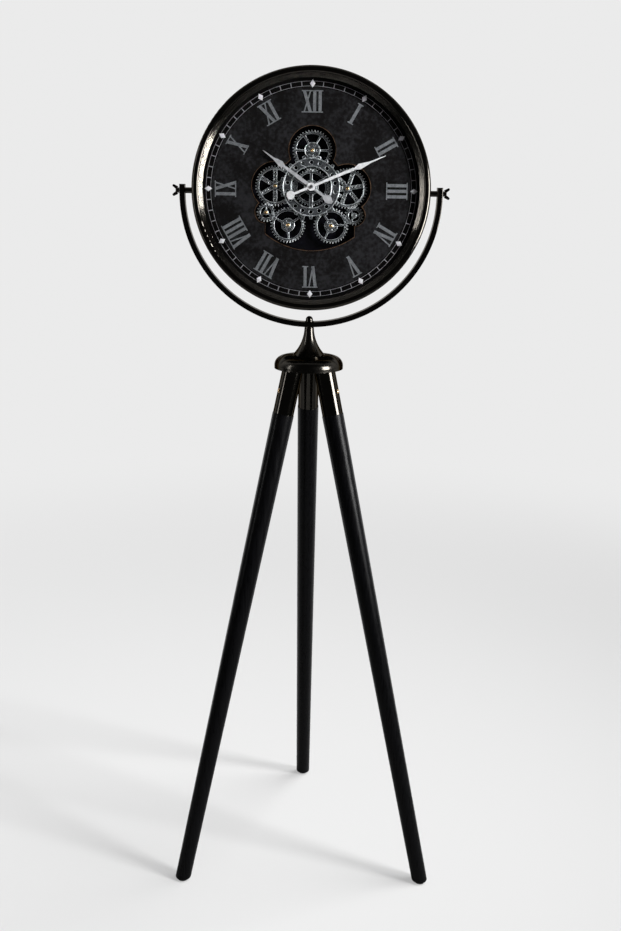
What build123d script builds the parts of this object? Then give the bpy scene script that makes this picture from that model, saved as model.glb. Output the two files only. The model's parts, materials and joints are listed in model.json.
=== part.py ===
from build123d import *
import math
import os

# Tripod clock: a round drum with an open train of wheels in its dial,
# held in a yoke on a three-legged stand. The floor is z = 0 and the dial
# faces -Y. Lengths are millimetres and angles are degrees.

os.makedirs("parts", exist_ok=True)

# Fits shared by all pieces
overrun_length = 2.0
seat_gap = 0.3
fit_gap = 0.15
running_gap = 0.05

# Stand: the floor circle of the poles and the heights that follow from the cap
foot_circle_radius = 298.0
joint_circle_radius = 58.5
cap_foot_height = 1101.5
joint_drop_height = 91.5
front_leg_angle = 30.0
leg_directions = {"left": 180 + front_leg_angle, "right": 360 - front_leg_angle, "back": 90}

# Legs
pole_top_radius = 22.2
pole_foot_radius = 16.3
pole_end_radius = 4.0
pole_shoulder_width = 0.8
sleeve_wall_thickness = 1.6
spigot_length = 62.0
pad_height = 3.0
pad_inset_width = 5.3
screw_rise_height = 46.0
screw_radius = 2.2
screw_reach_length = 12.0
screw_head_radius = 4.6
screw_head_height = 2.8

# Cap that joins the legs
lobe_wall_thickness = 4.6
lobe_offset_length = 7.6
lobe_rise_height = 6.5
cap_lip_height = 4.0
cap_shoulder_width = 16.5
cap_height = 24.5
socket_depth = 10.0

# Flared column and swivel
column_height = 58.1
column_base_radius = 33.4
column_lip_height = 2.6
column_waist_radius = 16.4
column_waist_share = 0.47
column_top_radius = 9.6
column_seat_gap = 1.2
stud_radius = 4.0
stud_bite_depth = 18.0
nut_radius = 7.2
nut_wall_thickness = 3.0
nut_skirt_height = 2.6

# Drum: distances forward of the tilt axis along the dial's normal
tilt_angle = 7.45
drum_radius = 227.0
sheet_thickness = 1.5
drum_back_depth = 34.0
drum_front_depth = 38.0
back_flange_width = 20.0
dial_ledge_width = 17.5
dial_front_depth = 32.0
dial_thickness = 3.0
dial_rim_gap = 2.5

# Front ring, inner ring and glass
bezel_wall_thickness = 4.2
bezel_skirt_length = 14.0
bezel_shoulder_height = 2.0
bezel_crown_height = 10.0
bezel_crown_width = 6.5
bezel_lip_width = 13.2
bezel_lip_depth = 2.8
bezel_round_share = 0.75
glass_inset_width = 5.5
glass_thickness = 2.5
inner_ring_gap = 2.5
inner_ring_slope_width = 8.0
inner_ring_slope_height = 6.0

# Yoke
yoke_clearance_gap = 17.0
yoke_drop_height = 6.5
yoke_thickness = 10.4
yoke_width = 22.0
yoke_overhang_height = 12.0
yoke_edge_radius = 1.6
yoke_boss_radius = 9.0
yoke_boss_drop_height = 1.5
yoke_boss_proud_height = 1.2

# Pivot fasteners
pivot_radius = 2.5
spacer_radius = 5.6
pivot_head_radius = 4.6
pivot_head_height = 3.5
pivot_plate_thickness = 8.0
pivot_plate_width = 30.0
washer_radius = 6.0
washer_thickness = 1.2
wing_hub_radius = 5.2
wing_hub_tip_radius = 4.2
wing_hub_height = 6.5
wing_thickness = 2.6
wing_prong_radius = 2.5
wing_reach_length = 8.7
wing_height = 10.4
wing_root_width = 3.4

# Back cover
cover_inset_width = 5.0
window_width = 240.0
window_height = 180.0
window_drop_height = 20.0
window_corner_radius = 20.0
cover_screw_count = 6
cover_screw_inset_width = 8.0
cover_screw_radius = 2.0
cover_screw_head_radius = 4.5
cover_screw_head_height = 2.2

# Wheel train
movement_rise_height = 5.6
tooth_module_length = 1.85
centre_teeth = 36
large_teeth = 40
middle_teeth = 35
small_teeth = 18
tooth_root_depth = 1.25
tooth_root_share = 0.29
tooth_pitch_share = 0.21
tooth_tip_share = 0.12
centre_phase_angle = 0.0
wheel_thickness = 2.5
wheel_level_height = 22.0
plate_level_height = 13.0
plate_thickness = 2.0
plate_radius = 145.0
pin_radius = 2.0
pin_collar_radius = 4.5
pin_head_radius = 4.0
pin_head_height = 2.6
wheel_boss_height = 1.0

# Rim, hub and spokes of each kind of wheel
rim_width = 3.6
hub_radii = {"large": 7.2, "middle": 13.0, "small": 5.0}
spoke_widths = {"drilled": 7.4, "large": 5.0, "middle": 4.4, "small": 3.0}
spoke_angles = {
    "top_wheel": 0.0,
    "left_wheel": 30.0,
    "right_wheel": 10.0,
    "lower_left_small_wheel": 90.0,
    "lower_left_middle_wheel": 33.0,
    "lower_right_small_wheel": 5.0,
    "lower_right_middle_wheel": 4.0,
    "centre_wheel": 90.0,
    "ring_wheel": 270.0,
}
large_spoke_count = 6
small_spoke_count = 3
spoke_taper_share = 0.6
spoke_hole_radius = 1.7
spoke_hole_shares = (0.22, 0.5, 0.78)
top_hub_radius = 15.5
hub_hole_count = 6
hub_hole_share = 0.62
hub_hole_radius = 1.7
bead_width = 1.2
bead_height = 0.6

# Opening in the dial, measured from the centre of the train
opening_centre_gap = 4.4
opening_top_gap = 6.4
opening_side_gap = 6.1
opening_small_gap = 2.5
opening_left_width = 88.2
opening_right_width = 85.0
opening_left_height = 89.5
opening_right_height = 93.4
opening_bottom_height = 121.0
trim_width = 1.0
trim_thickness = 0.6

# Coarse ring in front of the train
ring_teeth = 24
ring_tip_radius = 60.6
ring_tooth_height = 5.2
ring_inner_radius = 38.8
ring_bead_width = 1.3
ring_bead_height = 0.8
ring_hole_count = 18
ring_hole_radius = 3.5
ring_level_height = 27.0
ring_tooth_root_share = 0.25
ring_tooth_tip_share = 0.16
ring_spoke_width = 7.0
ring_hub_radius = 14.0

# Centre bush, stem and shafts
bush_radius = 7.0
bush_flange_radius = 11.0
bush_flange_thickness = 2.0
stem_radius = 4.0
stem_front_height = 33.0
hour_tube_radius = 2.5
minute_shaft_radius = 1.5

# Hands: levels of their backs, lengths and hours shown
time_hours = 10
time_minutes = 11.2
hour_level_height = 34.8
minute_level_height = 37.6
hand_thickness = 1.2
hour_length = 116.0
minute_length = 155.0
hour_boss_radius = 6.5
minute_boss_radius = 8.0
hand_nut_radius = 3.4
hand_nut_height = 1.5
hand_nut_edge_radius = 0.5
shaft_proud_height = 0.4
notch_half_width = 1.5
tip_half_width = 0.5
collar_length = 2.2
hour_arm_half_width = 3.8
hour_arm_shares = ((0.0, 0.65), (0.25, 1.0), (0.53, 0.65))
hour_leaf_half_width = 5.8
hour_leaf_shares = ((0.56, 0.5), (0.63, 1.0), (0.78, 0.3), (0.9, 0.2))
minute_arm_half_width = 3.0
minute_arm_shares = ((0.0, 0.7), (0.57, 1.0))
minute_leaf_half_width = 5.6
minute_leaf_shares = ((0.6, 0.5), (0.65, 1.0), (0.79, 0.3), (0.9, 0.2))
tail_half_width = 2.2
hour_tail_length = 51.0
hour_tail_half_width = 7.3
hour_tail_shares = ((0.56, 0.3), (0.72, 0.96), (0.84, 1.0), (1.0, 0.34))
minute_tail_length = 43.0
minute_tail_radius = 8.0

# Clock movement and its cell
movement_width = 56.0
movement_depth = 16.0
movement_corner_radius = 4.0
cell_radius = 7.1
cell_length = 49.5
cell_button_radius = 2.4
cell_button_length = 1.4
bay_gap = 0.8
bay_drop_height = 17.5
knob_radius = 7.0
knob_height = 5.0
knob_rise_height = 11.0
knob_stem_radius = 1.5
knob_flute_count = 12
knob_flute_radius = 1.0

# Gear drive and its cells
drive_width = 66.0
drive_height = 62.0
drive_depth = 22.0
drive_shaft_radius = 2.5
drive_shaft_offset_length = 12.0
drive_shaft_bite_depth = 12.0
drive_bay_drop_height = 9.0

# Pillars between dial and mechanism plate: insets from its rim and directions
pillar_radius = 4.0
pillar_screw_radius = 3.6
pillar_screw_height = 2.2
pillar_upper_inset_width = 27.6
pillar_upper_angle = 45.0
pillar_lower_inset_width = 7.9
pillar_lower_angle = -39.4

# Heights and radii that follow from the values above
joint_height = cap_foot_height - joint_drop_height
sleeve_radius = pole_top_radius - pole_shoulder_width
spigot_radius = sleeve_radius - sleeve_wall_thickness - fit_gap
pad_radius = pole_foot_radius - pad_inset_width
cap_top = cap_foot_height + cap_height
column_top = cap_top + column_height
wall_inner = drum_radius - sheet_thickness
dial_radius = wall_inner - dial_rim_gap
bezel_radius = drum_radius + bezel_wall_thickness
yoke_inner = bezel_radius + yoke_clearance_gap
yoke_radius = yoke_inner + yoke_thickness / 2
yoke_outer = yoke_inner + yoke_thickness
yoke_boss_foot = column_top + seat_gap
arc_height = yoke_boss_foot + yoke_boss_drop_height + yoke_outer
pivot_height = arc_height + yoke_drop_height
ring_root_radius = ring_tip_radius - ring_tooth_height
ring_hole_circle = (ring_root_radius + ring_inner_radius) / 2

# Frames of reference
axis_y = -(foot_circle_radius - foot_circle_radius * math.sin(math.radians(front_leg_angle))) / 2
leg_lean = math.atan((foot_circle_radius - joint_circle_radius) / joint_height)
joint_run = joint_height / math.cos(leg_lean)
stand_section = Plane(origin=(0, axis_y, 0), x_dir=(1, 0, 0), z_dir=(0, -1, 0))
stand_axis = Axis((0, axis_y, 0), (0, 0, 1))
tilt = math.radians(tilt_angle)
dial = Plane(
    origin=(0, axis_y, pivot_height),
    x_dir=(1, 0, 0),
    z_dir=(0, -math.cos(tilt), math.sin(tilt)),
)
dial_axis = Axis(dial.origin, dial.z_dir)
dial_section = Plane(origin=dial.origin, x_dir=dial.x_dir, z_dir=-dial.y_dir)
train = Plane(
    origin=dial.from_local_coords((0, movement_rise_height, 0)),
    x_dir=dial.x_dir,
    z_dir=dial.z_dir,
)
train_axis = Axis(train.origin, train.z_dir)
train_section = Plane(origin=train.origin, x_dir=train.x_dir, z_dir=-train.y_dir)


def save(part, name):
    """Label one finished piece and write its file."""
    part.label = name
    export_step(part, f"parts/{name}.step")


def leg_section(direction):
    """Plane through a leg: x points outwards, y runs up the leg from the floor."""
    turn = math.radians(direction)
    outward = Vector(math.cos(turn), math.sin(turn), 0)
    upward = Vector(0, 0, 1)
    along = upward * math.cos(leg_lean) - outward * math.sin(leg_lean)
    across = outward * math.cos(leg_lean) + upward * math.sin(leg_lean)
    foot = Vector(0, axis_y, 0) + outward * foot_circle_radius
    return Plane(origin=foot, x_dir=across, z_dir=across.cross(along))


def section_axis(section):
    """The line that a leg's section turns about."""
    return Axis(section.origin, section.y_dir)


def screw_plane(section):
    """Plane at a leg's screw, facing outwards square to the leg."""
    centre = section.from_local_coords((0, joint_run + screw_rise_height))
    return Plane(origin=centre, x_dir=section.y_dir, z_dir=section.x_dir)


def outline_face(section, points):
    """Face inside a closed outline of straight lines."""
    with BuildSketch(section) as face:
        with BuildLine():
            Polyline(*points, close=True)
        make_face()
    return face.sketch


def dome_middle(radius, height):
    """Point half way along a dome's arc, from its rim to its top."""
    sphere = (radius**2 + height**2) / (height * 2)
    half = math.asin(radius / sphere) / 2
    return (sphere * math.sin(half), height - sphere + sphere * math.cos(half))


def disc_face(plane, place, radius, inner=0):
    """Round face at a place of a plane, with or without a hole."""
    with BuildSketch(plane) as face:
        with Locations(place):
            Circle(radius)
            if inner:
                Circle(inner, mode=Mode.SUBTRACT)
    return face.sketch


# Legs: tapered poles whose spigots sit in the metal sleeves
def make_pole(direction):
    """Tapered pole with a spigot at its top and a level rounded foot."""
    section = leg_section(direction)
    taper = (pole_top_radius - pole_foot_radius) / joint_run
    start = -pole_foot_radius
    start_radius = pole_foot_radius + start * taper
    spigot_top = joint_run + spigot_length
    with BuildPart() as pole:
        points = (
            (0, start),
            (start_radius, start),
            (pole_top_radius, joint_run),
            (spigot_radius, joint_run),
            (spigot_radius, spigot_top),
            (0, spigot_top),
        )
        revolve(outline_face(section, points), axis=section_axis(section))
        split(bisect_by=Plane.XY.offset(pad_height), keep=Keep.TOP)
        fillet(pole.faces().sort_by(Axis.Z)[0].edges(), pole_end_radius)
        with BuildSketch(screw_plane(section).offset(spigot_radius)):
            Circle(screw_radius + fit_gap)
        extrude(amount=-screw_reach_length, mode=Mode.SUBTRACT)
    return pole.part


def make_sleeve(direction):
    """Metal tube over a pole's spigot, up into the cap."""
    section = leg_section(direction)
    top = sleeve_top_run
    bore = spigot_radius + fit_gap
    with BuildPart() as sleeve:
        points = ((bore, joint_run), (sleeve_radius, joint_run), (sleeve_radius, top), (bore, top))
        revolve(outline_face(section, points), axis=section_axis(section))
        with BuildSketch(screw_plane(section)):
            Circle(screw_radius + fit_gap)
        extrude(amount=sleeve_radius + overrun_length, mode=Mode.SUBTRACT)
    return sleeve.part


def run_at_underside():
    """Distance up a leg's axis at which it meets the cap's underside."""
    return cap_foot_height / math.cos(leg_lean)


sleeve_top_run = run_at_underside() + socket_depth
leg_circle_at_cap = foot_circle_radius - cap_foot_height * math.tan(leg_lean)
lobe_circle = leg_circle_at_cap + lobe_offset_length
lobe_radius = sleeve_radius + lobe_wall_thickness
cap_radius = lobe_circle + lobe_radius
cap_top_radius = cap_radius - cap_shoulder_width

for side, direction in leg_directions.items():
    save(make_pole(direction), f"leg_pole_{side}")
    save(make_sleeve(direction), f"leg_sleeve_{side}")

# Screws through the sleeves into the spigots
head_foot = sleeve_radius + fit_gap
screw_end = spigot_radius - screw_reach_length + overrun_length
middle_out, middle_up = dome_middle(screw_head_radius, screw_head_height)
with BuildPart() as sleeve_screws:
    for direction in leg_directions.values():
        across = screw_plane(leg_section(direction))
        head_section = Plane(origin=across.origin, x_dir=across.x_dir, z_dir=-across.y_dir)
        with BuildSketch(head_section):
            with BuildLine():
                stem = Polyline(
                    (0, head_foot + screw_head_height),
                    (0, screw_end),
                    (screw_radius, screw_end),
                    (screw_radius, head_foot),
                    (screw_head_radius, head_foot),
                )
                ThreePointArc(stem @ 1, (middle_out, head_foot + middle_up), stem @ 0)
            make_face()
        revolve(axis=Axis(across.origin, across.z_dir))
save(sleeve_screws.part, "sleeve_screws")

# Rubber pads under the poles
with BuildPart() as foot_pads:
    for direction in leg_directions.values():
        section = leg_section(direction)
        centre = section.from_local_coords((0, pad_height / math.cos(leg_lean)))
        with BuildSketch(Plane(origin=(centre.X, centre.Y, 0))):
            Circle(pad_radius)
        extrude(amount=pad_height)
save(foot_pads.part, "foot_pads")

# Cap: a deep dome with a shoulder over each leg and three slanted sockets
with BuildPart() as tripod_cap:
    with BuildSketch(stand_section):
        with BuildLine():
            base = Polyline((0, cap_top), (0, cap_foot_height), (cap_radius, cap_foot_height))
            lip = Line(base @ 1, (cap_radius, cap_foot_height + cap_lip_height))
            shoulder = ThreePointArc(
                lip @ 1,
                (
                    cap_top_radius + (cap_radius - cap_top_radius) * math.sqrt(1 / 2),
                    cap_top - (cap_height - cap_lip_height) * (1 - math.sqrt(1 / 2)),
                ),
                (cap_top_radius, cap_top),
            )
            Line(shoulder @ 1, base @ 0)
        make_face()
    revolve(axis=stand_axis)
    with Locations(Location((0, axis_y, cap_foot_height + lobe_rise_height))):
        with PolarLocations(lobe_circle, len(leg_directions), start_angle=leg_directions["back"]):
            Sphere(lobe_radius)
    split(bisect_by=Plane.XY.offset(cap_foot_height), keep=Keep.TOP)
    for direction in leg_directions.values():
        section = leg_section(direction)
        socket_start = run_at_underside() - sleeve_radius
        with BuildSketch(Plane(
            origin=section.from_local_coords((0, socket_start)),
            x_dir=section.x_dir,
            z_dir=section.y_dir,
        )):
            Circle(sleeve_radius + fit_gap)
        extrude(amount=sleeve_top_run - socket_start, mode=Mode.SUBTRACT)
    cap_face = Plane(origin=(0, axis_y, cap_top))
    seat = disc_face(cap_face, (0, 0), column_base_radius + column_seat_gap)
    extrude(seat, amount=lobe_radius, mode=Mode.SUBTRACT)
    bore = disc_face(cap_face, (0, 0), stud_radius + running_gap)
    extrude(bore, amount=-stud_bite_depth, mode=Mode.SUBTRACT)
save(tripod_cap.part, "tripod_cap")

# Flared column with a hollow curve from its foot to its neck
with BuildPart() as flared_column:
    bore = stud_radius + running_gap
    with BuildSketch(stand_section):
        with BuildLine():
            foot = Polyline(
                (bore, cap_top),
                (column_base_radius, cap_top),
                (column_base_radius, cap_top + column_lip_height),
            )
            flare = ThreePointArc(
                foot @ 1,
                (column_waist_radius, cap_top + column_height * column_waist_share),
                (column_top_radius, column_top),
            )
            Polyline(flare @ 1, (bore, column_top), (bore, cap_top))
        make_face()
    revolve(axis=stand_axis)
save(flared_column.part, "flared_column")

# Yoke: a flat bar bent to a half circle, with a boss at its foot
yoke_boss_head = arc_height - yoke_inner + yoke_boss_proud_height
arm_height = yoke_drop_height + yoke_overhang_height
with BuildPart() as yoke:
    with BuildSketch(stand_section.offset(-yoke_width / 2)):
        with Locations((0, arc_height)):
            Circle(yoke_outer)
            Circle(yoke_inner, mode=Mode.SUBTRACT)
        with Locations((0, arc_height + yoke_outer / 2)):
            Rectangle(yoke_outer * 2 + overrun_length, yoke_outer, mode=Mode.SUBTRACT)
        with Locations((-yoke_radius, arc_height), (yoke_radius, arc_height)):
            Rectangle(yoke_thickness, arm_height, align=(Align.CENTER, Align.MIN))
    extrude(amount=yoke_width)
    flat_sides = yoke.faces().filter_by(Plane.XZ)
    fillet(flat_sides.edges(), yoke_edge_radius)
    with BuildSketch(Plane(origin=(0, axis_y, yoke_boss_foot))):
        Circle(yoke_boss_radius)
    extrude(amount=yoke_boss_head - yoke_boss_foot)
    with BuildSketch(Plane(origin=(0, axis_y, yoke_boss_foot))):
        Circle(stud_radius + running_gap)
    extrude(amount=yoke_boss_head - yoke_boss_foot, mode=Mode.SUBTRACT)
    with BuildSketch(Plane(origin=(-yoke_outer, axis_y, pivot_height), z_dir=(1, 0, 0))):
        Circle(pivot_radius + running_gap)
    extrude(amount=yoke_outer * 2, mode=Mode.SUBTRACT)
save(yoke.part, "yoke")

# Acorn nut over the yoke's boss, and the stud that it closes
nut_foot = yoke_boss_head + seat_gap
nut_shoulder = nut_foot + nut_skirt_height
stud_top = nut_shoulder + nut_radius - nut_wall_thickness
with BuildPart() as acorn_nut:
    bore = stud_radius + running_gap
    with BuildSketch(stand_section):
        with BuildLine():
            skirt = Polyline((bore, nut_foot), (nut_radius, nut_foot), (nut_radius, nut_shoulder))
            crown = CenterArc((0, nut_shoulder), nut_radius, 0, 90)
            Polyline(crown @ 1, (0, stud_top), (bore, stud_top), skirt @ 0)
        make_face()
    revolve(axis=stand_axis)
save(acorn_nut.part, "acorn_nut")

with BuildPart() as swivel_stud:
    with BuildSketch(Plane(origin=(0, axis_y, cap_top - stud_bite_depth))):
        Circle(stud_radius)
    extrude(amount=stud_top - cap_top + stud_bite_depth)
save(swivel_stud.part, "swivel_stud")


# Pivots: each side's plane faces outwards along the tilt axis
def pivot_plane(side):
    """Plane square to the tilt axis on one side, its x axis up the dial."""
    return Plane(origin=dial.origin, x_dir=dial.y_dir, z_dir=dial.x_dir * side)


sides = (-1, 1)
spacer_start = drum_radius + fit_gap
spacer_end = yoke_inner - seat_gap
washer_start = yoke_outer + fit_gap
wing_start = washer_start + washer_thickness + fit_gap
wing_end = wing_start + wing_hub_height
plate_outer = math.sqrt(wall_inner**2 - (pivot_plate_width / 2) ** 2) - fit_gap
plate_inner = plate_outer - pivot_plate_thickness
head_end = plate_inner - running_gap

with BuildPart() as pivot_spacers:
    for side in sides:
        with BuildSketch(pivot_plane(side).offset(spacer_start)):
            Circle(spacer_radius)
            Circle(pivot_radius + running_gap, mode=Mode.SUBTRACT)
        extrude(amount=spacer_end - spacer_start)
save(pivot_spacers.part, "pivot_spacers")

with BuildPart() as pivot_studs:
    for side in sides:
        with BuildSketch(pivot_plane(side).offset(head_end)):
            Circle(pivot_radius)
        extrude(amount=wing_end - head_end)
        with BuildSketch(pivot_plane(side).offset(head_end)):
            RegularPolygon(pivot_head_radius, 6)
        extrude(amount=-pivot_head_height)
save(pivot_studs.part, "pivot_studs")

with BuildPart() as pivot_plates:
    for side in sides:
        with BuildSketch(pivot_plane(side).offset(plate_inner)):
            Rectangle(pivot_plate_width, pivot_plate_width)
            Circle(pivot_radius + running_gap, mode=Mode.SUBTRACT)
        extrude(amount=plate_outer - plate_inner)
save(pivot_plates.part, "pivot_plates")

with BuildPart() as pivot_washers:
    for side in sides:
        with BuildSketch(pivot_plane(side).offset(washer_start)):
            Circle(washer_radius)
            Circle(pivot_radius + running_gap, mode=Mode.SUBTRACT)
        extrude(amount=washer_thickness)
save(pivot_washers.part, "pivot_washers")


def make_wing_nut(side):
    """Cone-shaped hub with two rounded prongs that spread outwards."""
    face = pivot_plane(side).offset(wing_start)
    section = Plane(origin=face.origin, x_dir=face.x_dir, z_dir=-face.y_dir)
    bore = pivot_radius + running_gap
    with BuildPart() as wing_nut:
        points = (
            (bore, 0),
            (wing_hub_radius, 0),
            (wing_hub_tip_radius, wing_hub_height),
            (bore, wing_hub_height),
        )
        revolve(outline_face(section, points), axis=Axis(face.origin, face.z_dir))
        with BuildSketch(section.offset(-wing_thickness / 2)):
            for wing in sides:
                root = Vector(wing * wing_hub_tip_radius, wing_root_width)
                tip = Vector(wing * wing_reach_length, wing_height)
                with BuildLine():
                    edge = (tip - root).normalized().rotate(Axis.Z, 90)
                    Polyline(
                        root + edge * wing_root_width,
                        tip + edge * wing_prong_radius,
                        tip - edge * wing_prong_radius,
                        root - edge * wing_root_width,
                        close=True,
                    )
                make_face()
                with Locations(tip):
                    Circle(wing_prong_radius)
        extrude(amount=wing_thickness)
        with BuildSketch(face):
            Circle(bore)
        extrude(amount=wing_height + overrun_length, mode=Mode.SUBTRACT)
    return wing_nut.part


save(make_wing_nut(-1), "wing_nut_left")
save(make_wing_nut(1), "wing_nut_right")

# Drum: a rolled band, with a ring behind for the cover and a ring under the dial
dial_back = dial_front_depth - dial_thickness
ring_fit = wall_inner - running_gap
cover_radius = drum_radius - cover_inset_width
cover_screw_circle = cover_radius - cover_screw_inset_width

with BuildPart() as drum_case:
    band = disc_face(dial.offset(-drum_back_depth), (0, 0), drum_radius, wall_inner)
    extrude(band, amount=drum_front_depth + drum_back_depth)
    with BuildSketch(pivot_plane(-1).offset(-drum_radius - overrun_length)):
        Circle(pivot_radius + running_gap)
    extrude(amount=drum_radius * 2 + overrun_length * 2, mode=Mode.SUBTRACT)
save(drum_case.part, "drum_case")

with BuildPart() as dial_seat:
    seat_plane = dial.offset(dial_back - sheet_thickness)
    seat_ring = disc_face(seat_plane, (0, 0), ring_fit, wall_inner - dial_ledge_width)
    extrude(seat_ring, amount=sheet_thickness)
save(dial_seat.part, "dial_seat")

with BuildPart() as back_rim:
    rim_plane = dial.offset(-drum_back_depth)
    rim_ring = disc_face(rim_plane, (0, 0), ring_fit, drum_radius - back_flange_width)
    extrude(rim_ring, amount=sheet_thickness)
    with BuildSketch(rim_plane):
        with PolarLocations(cover_screw_circle, cover_screw_count):
            Circle(cover_screw_radius + fit_gap)
    extrude(amount=sheet_thickness, mode=Mode.SUBTRACT)
save(back_rim.part, "back_rim")

# Front ring with a rounded crown that laps over the drum and holds the glass
glass_radius = drum_radius - glass_inset_width
bezel_skirt = drum_front_depth - bezel_skirt_length
bezel_shoulder = drum_front_depth + bezel_shoulder_height
bezel_crown = drum_front_depth + bezel_crown_height
bezel_crown_radius = bezel_radius - bezel_crown_width
bezel_lip_radius = bezel_radius - bezel_lip_width
glass_front = bezel_crown - bezel_lip_depth
glass_back = glass_front - seat_gap - glass_thickness
with BuildPart() as bezel_ring:
    skirt_inner = drum_radius + fit_gap
    glass_seat = glass_radius + fit_gap
    with BuildSketch(dial_section):
        with BuildLine():
            outside = Polyline(
                (skirt_inner, drum_front_depth + seat_gap),
                (skirt_inner, bezel_skirt),
                (bezel_radius, bezel_skirt),
                (bezel_radius, bezel_shoulder),
            )
            outer_round = ThreePointArc(
                outside @ 1,
                (
                    bezel_crown_radius + (bezel_radius - bezel_crown_radius) * bezel_round_share,
                    bezel_crown - (bezel_crown - bezel_shoulder) * (1 - bezel_round_share),
                ),
                (bezel_crown_radius, bezel_crown),
            )
            inner_round = ThreePointArc(
                outer_round @ 1,
                (
                    bezel_crown_radius - (bezel_crown_radius - bezel_lip_radius) * bezel_round_share,
                    bezel_crown - bezel_lip_depth * (1 - bezel_round_share),
                ),
                (bezel_lip_radius, glass_front),
            )
            Polyline(
                inner_round @ 1,
                (glass_seat, glass_front),
                (glass_seat, drum_front_depth + seat_gap),
                outside @ 0,
            )
        make_face()
    revolve(axis=dial_axis)
save(bezel_ring.part, "bezel_ring")

with BuildPart() as glass:
    with BuildSketch(dial.offset(glass_back)):
        Circle(glass_radius)
    extrude(amount=glass_thickness)
save(glass.part, "glass")

# Ring between the dial and the glass, sloped at its foot
ring_wall = dial_radius - inner_ring_gap
with BuildPart() as inner_ring:
    ring_top = glass_back - seat_gap
    points = (
        (ring_wall - sheet_thickness - inner_ring_slope_width, dial_front_depth),
        (ring_wall, dial_front_depth),
        (ring_wall, ring_top),
        (ring_wall - sheet_thickness, ring_top),
        (ring_wall - sheet_thickness, dial_front_depth + inner_ring_slope_height),
    )
    revolve(outline_face(dial_section, points), axis=dial_axis)
save(inner_ring.part, "inner_ring")


# Places of the wheels, each set off from the wheel that drives it
def pitch_radius(teeth):
    """Radius at which wheels of this many teeth roll on each other."""
    return teeth * tooth_module_length / 2


def tip_radius(teeth):
    """Radius over the teeth's tips."""
    return pitch_radius(teeth) + tooth_module_length


def driven_place(driver_place, driver_teeth, teeth, direction):
    """Centre of a wheel that meshes with its driver in one direction."""
    reach = pitch_radius(driver_teeth) + pitch_radius(teeth)
    turn = math.radians(direction)
    return (driver_place[0] + reach * math.cos(turn), driver_place[1] + reach * math.sin(turn))


def driven_phase(driver_phase, driver_teeth, teeth, direction):
    """Angle of a tooth that puts a gap of the wheel on its driver's tooth."""
    return direction + 180 + (direction - driver_phase) * driver_teeth / teeth + 180 / teeth


train_order = (
    ("top_wheel", "centre_wheel", large_teeth, 89.0),
    ("left_wheel", "centre_wheel", large_teeth, 178.2),
    ("right_wheel", "centre_wheel", large_teeth, 359.4),
    ("lower_left_small_wheel", "left_wheel", small_teeth, 251.2),
    ("lower_left_middle_wheel", "lower_left_small_wheel", middle_teeth, 331.5),
    ("lower_right_small_wheel", "right_wheel", small_teeth, 285.3),
    ("lower_right_middle_wheel", "lower_right_small_wheel", middle_teeth, 204.1),
)
places = {"centre_wheel": (0, 0)}
phases = {"centre_wheel": centre_phase_angle}
tooth_counts = {"centre_wheel": centre_teeth}
for name, driver, teeth, direction in train_order:
    places[name] = driven_place(places[driver], tooth_counts[driver], teeth, direction)
    phases[name] = driven_phase(phases[driver], tooth_counts[driver], teeth, direction)
    tooth_counts[name] = teeth


def toothed_outline(teeth, phase, stations):
    """Points of a toothed disc; each station is a radius and a share of the pitch."""
    points = []
    for tooth in range(teeth):
        for radius, share in stations:
            turn = math.radians(phase + (tooth + share) * 360 / teeth)
            points.append((radius * math.cos(turn), radius * math.sin(turn)))
    return points


def wheel_stations(teeth):
    """Root, flank and tip of one tooth of the fine wheels."""
    rolling = pitch_radius(teeth)
    root = rolling - tooth_root_depth * tooth_module_length
    tip = tip_radius(teeth)
    return (
        (root, -tooth_root_share),
        (rolling, -tooth_pitch_share),
        (tip, -tooth_tip_share),
        (tip, tooth_tip_share),
        (rolling, tooth_pitch_share),
        (root, tooth_root_share),
    )


def spoke_outline(inner, outer, inner_width, outer_width):
    """One tapered spoke along x."""
    return (
        (inner, -inner_width / 2),
        (outer, -outer_width / 2),
        (outer, outer_width / 2),
        (inner, inner_width / 2),
    )


def open_wheel(name, spokes, spoke_start, hub_radius, spoke_width, rim_end_width):
    """Flat face of a spoked wheel, without its bore."""
    teeth = tooth_counts[name]
    root = pitch_radius(teeth) - tooth_root_depth * tooth_module_length
    rim_inner = root - rim_width
    Polygon(*toothed_outline(teeth, phases[name], wheel_stations(teeth)), align=None)
    Circle(rim_inner, mode=Mode.SUBTRACT)
    Circle(hub_radius)
    with PolarLocations(0, spokes, start_angle=spoke_start):
        spoke_ends = (hub_radius - overrun_length, rim_inner + rim_width / 2)
        Polygon(*spoke_outline(*spoke_ends, spoke_width, rim_end_width), align=None)
    return rim_inner


def wheel_disc(place, radius, inner=0):
    """Round face on the back plane of the wheels."""
    return disc_face(train.offset(wheel_level_height), place, radius, inner)


def make_drilled_wheel(name, spoke_start):
    """Large wheel with six drilled spokes and a raised line inside its rim."""
    place = places[name]
    with BuildPart() as wheel:
        with BuildSketch(train.offset(wheel_level_height)):
            with Locations(place):
                hub = hub_radii["large"]
                width = spoke_widths["drilled"]
                rim_inner = open_wheel(name, large_spoke_count, spoke_start, hub, width, width)
                for share in spoke_hole_shares:
                    hole_circle = hub + (rim_inner - hub) * share
                    with PolarLocations(hole_circle, large_spoke_count, start_angle=spoke_start):
                        Circle(spoke_hole_radius, mode=Mode.SUBTRACT)
        extrude(amount=wheel_thickness)
        bead = wheel_disc(place, rim_inner + bead_width, rim_inner)
        extrude(bead, amount=wheel_thickness + bead_height)
        extrude(wheel_disc(place, pin_collar_radius), amount=wheel_thickness + wheel_boss_height)
        bore = wheel_disc(place, pin_radius + running_gap)
        extrude(bore, amount=wheel_thickness + wheel_boss_height, mode=Mode.SUBTRACT)
    return wheel.part


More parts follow.
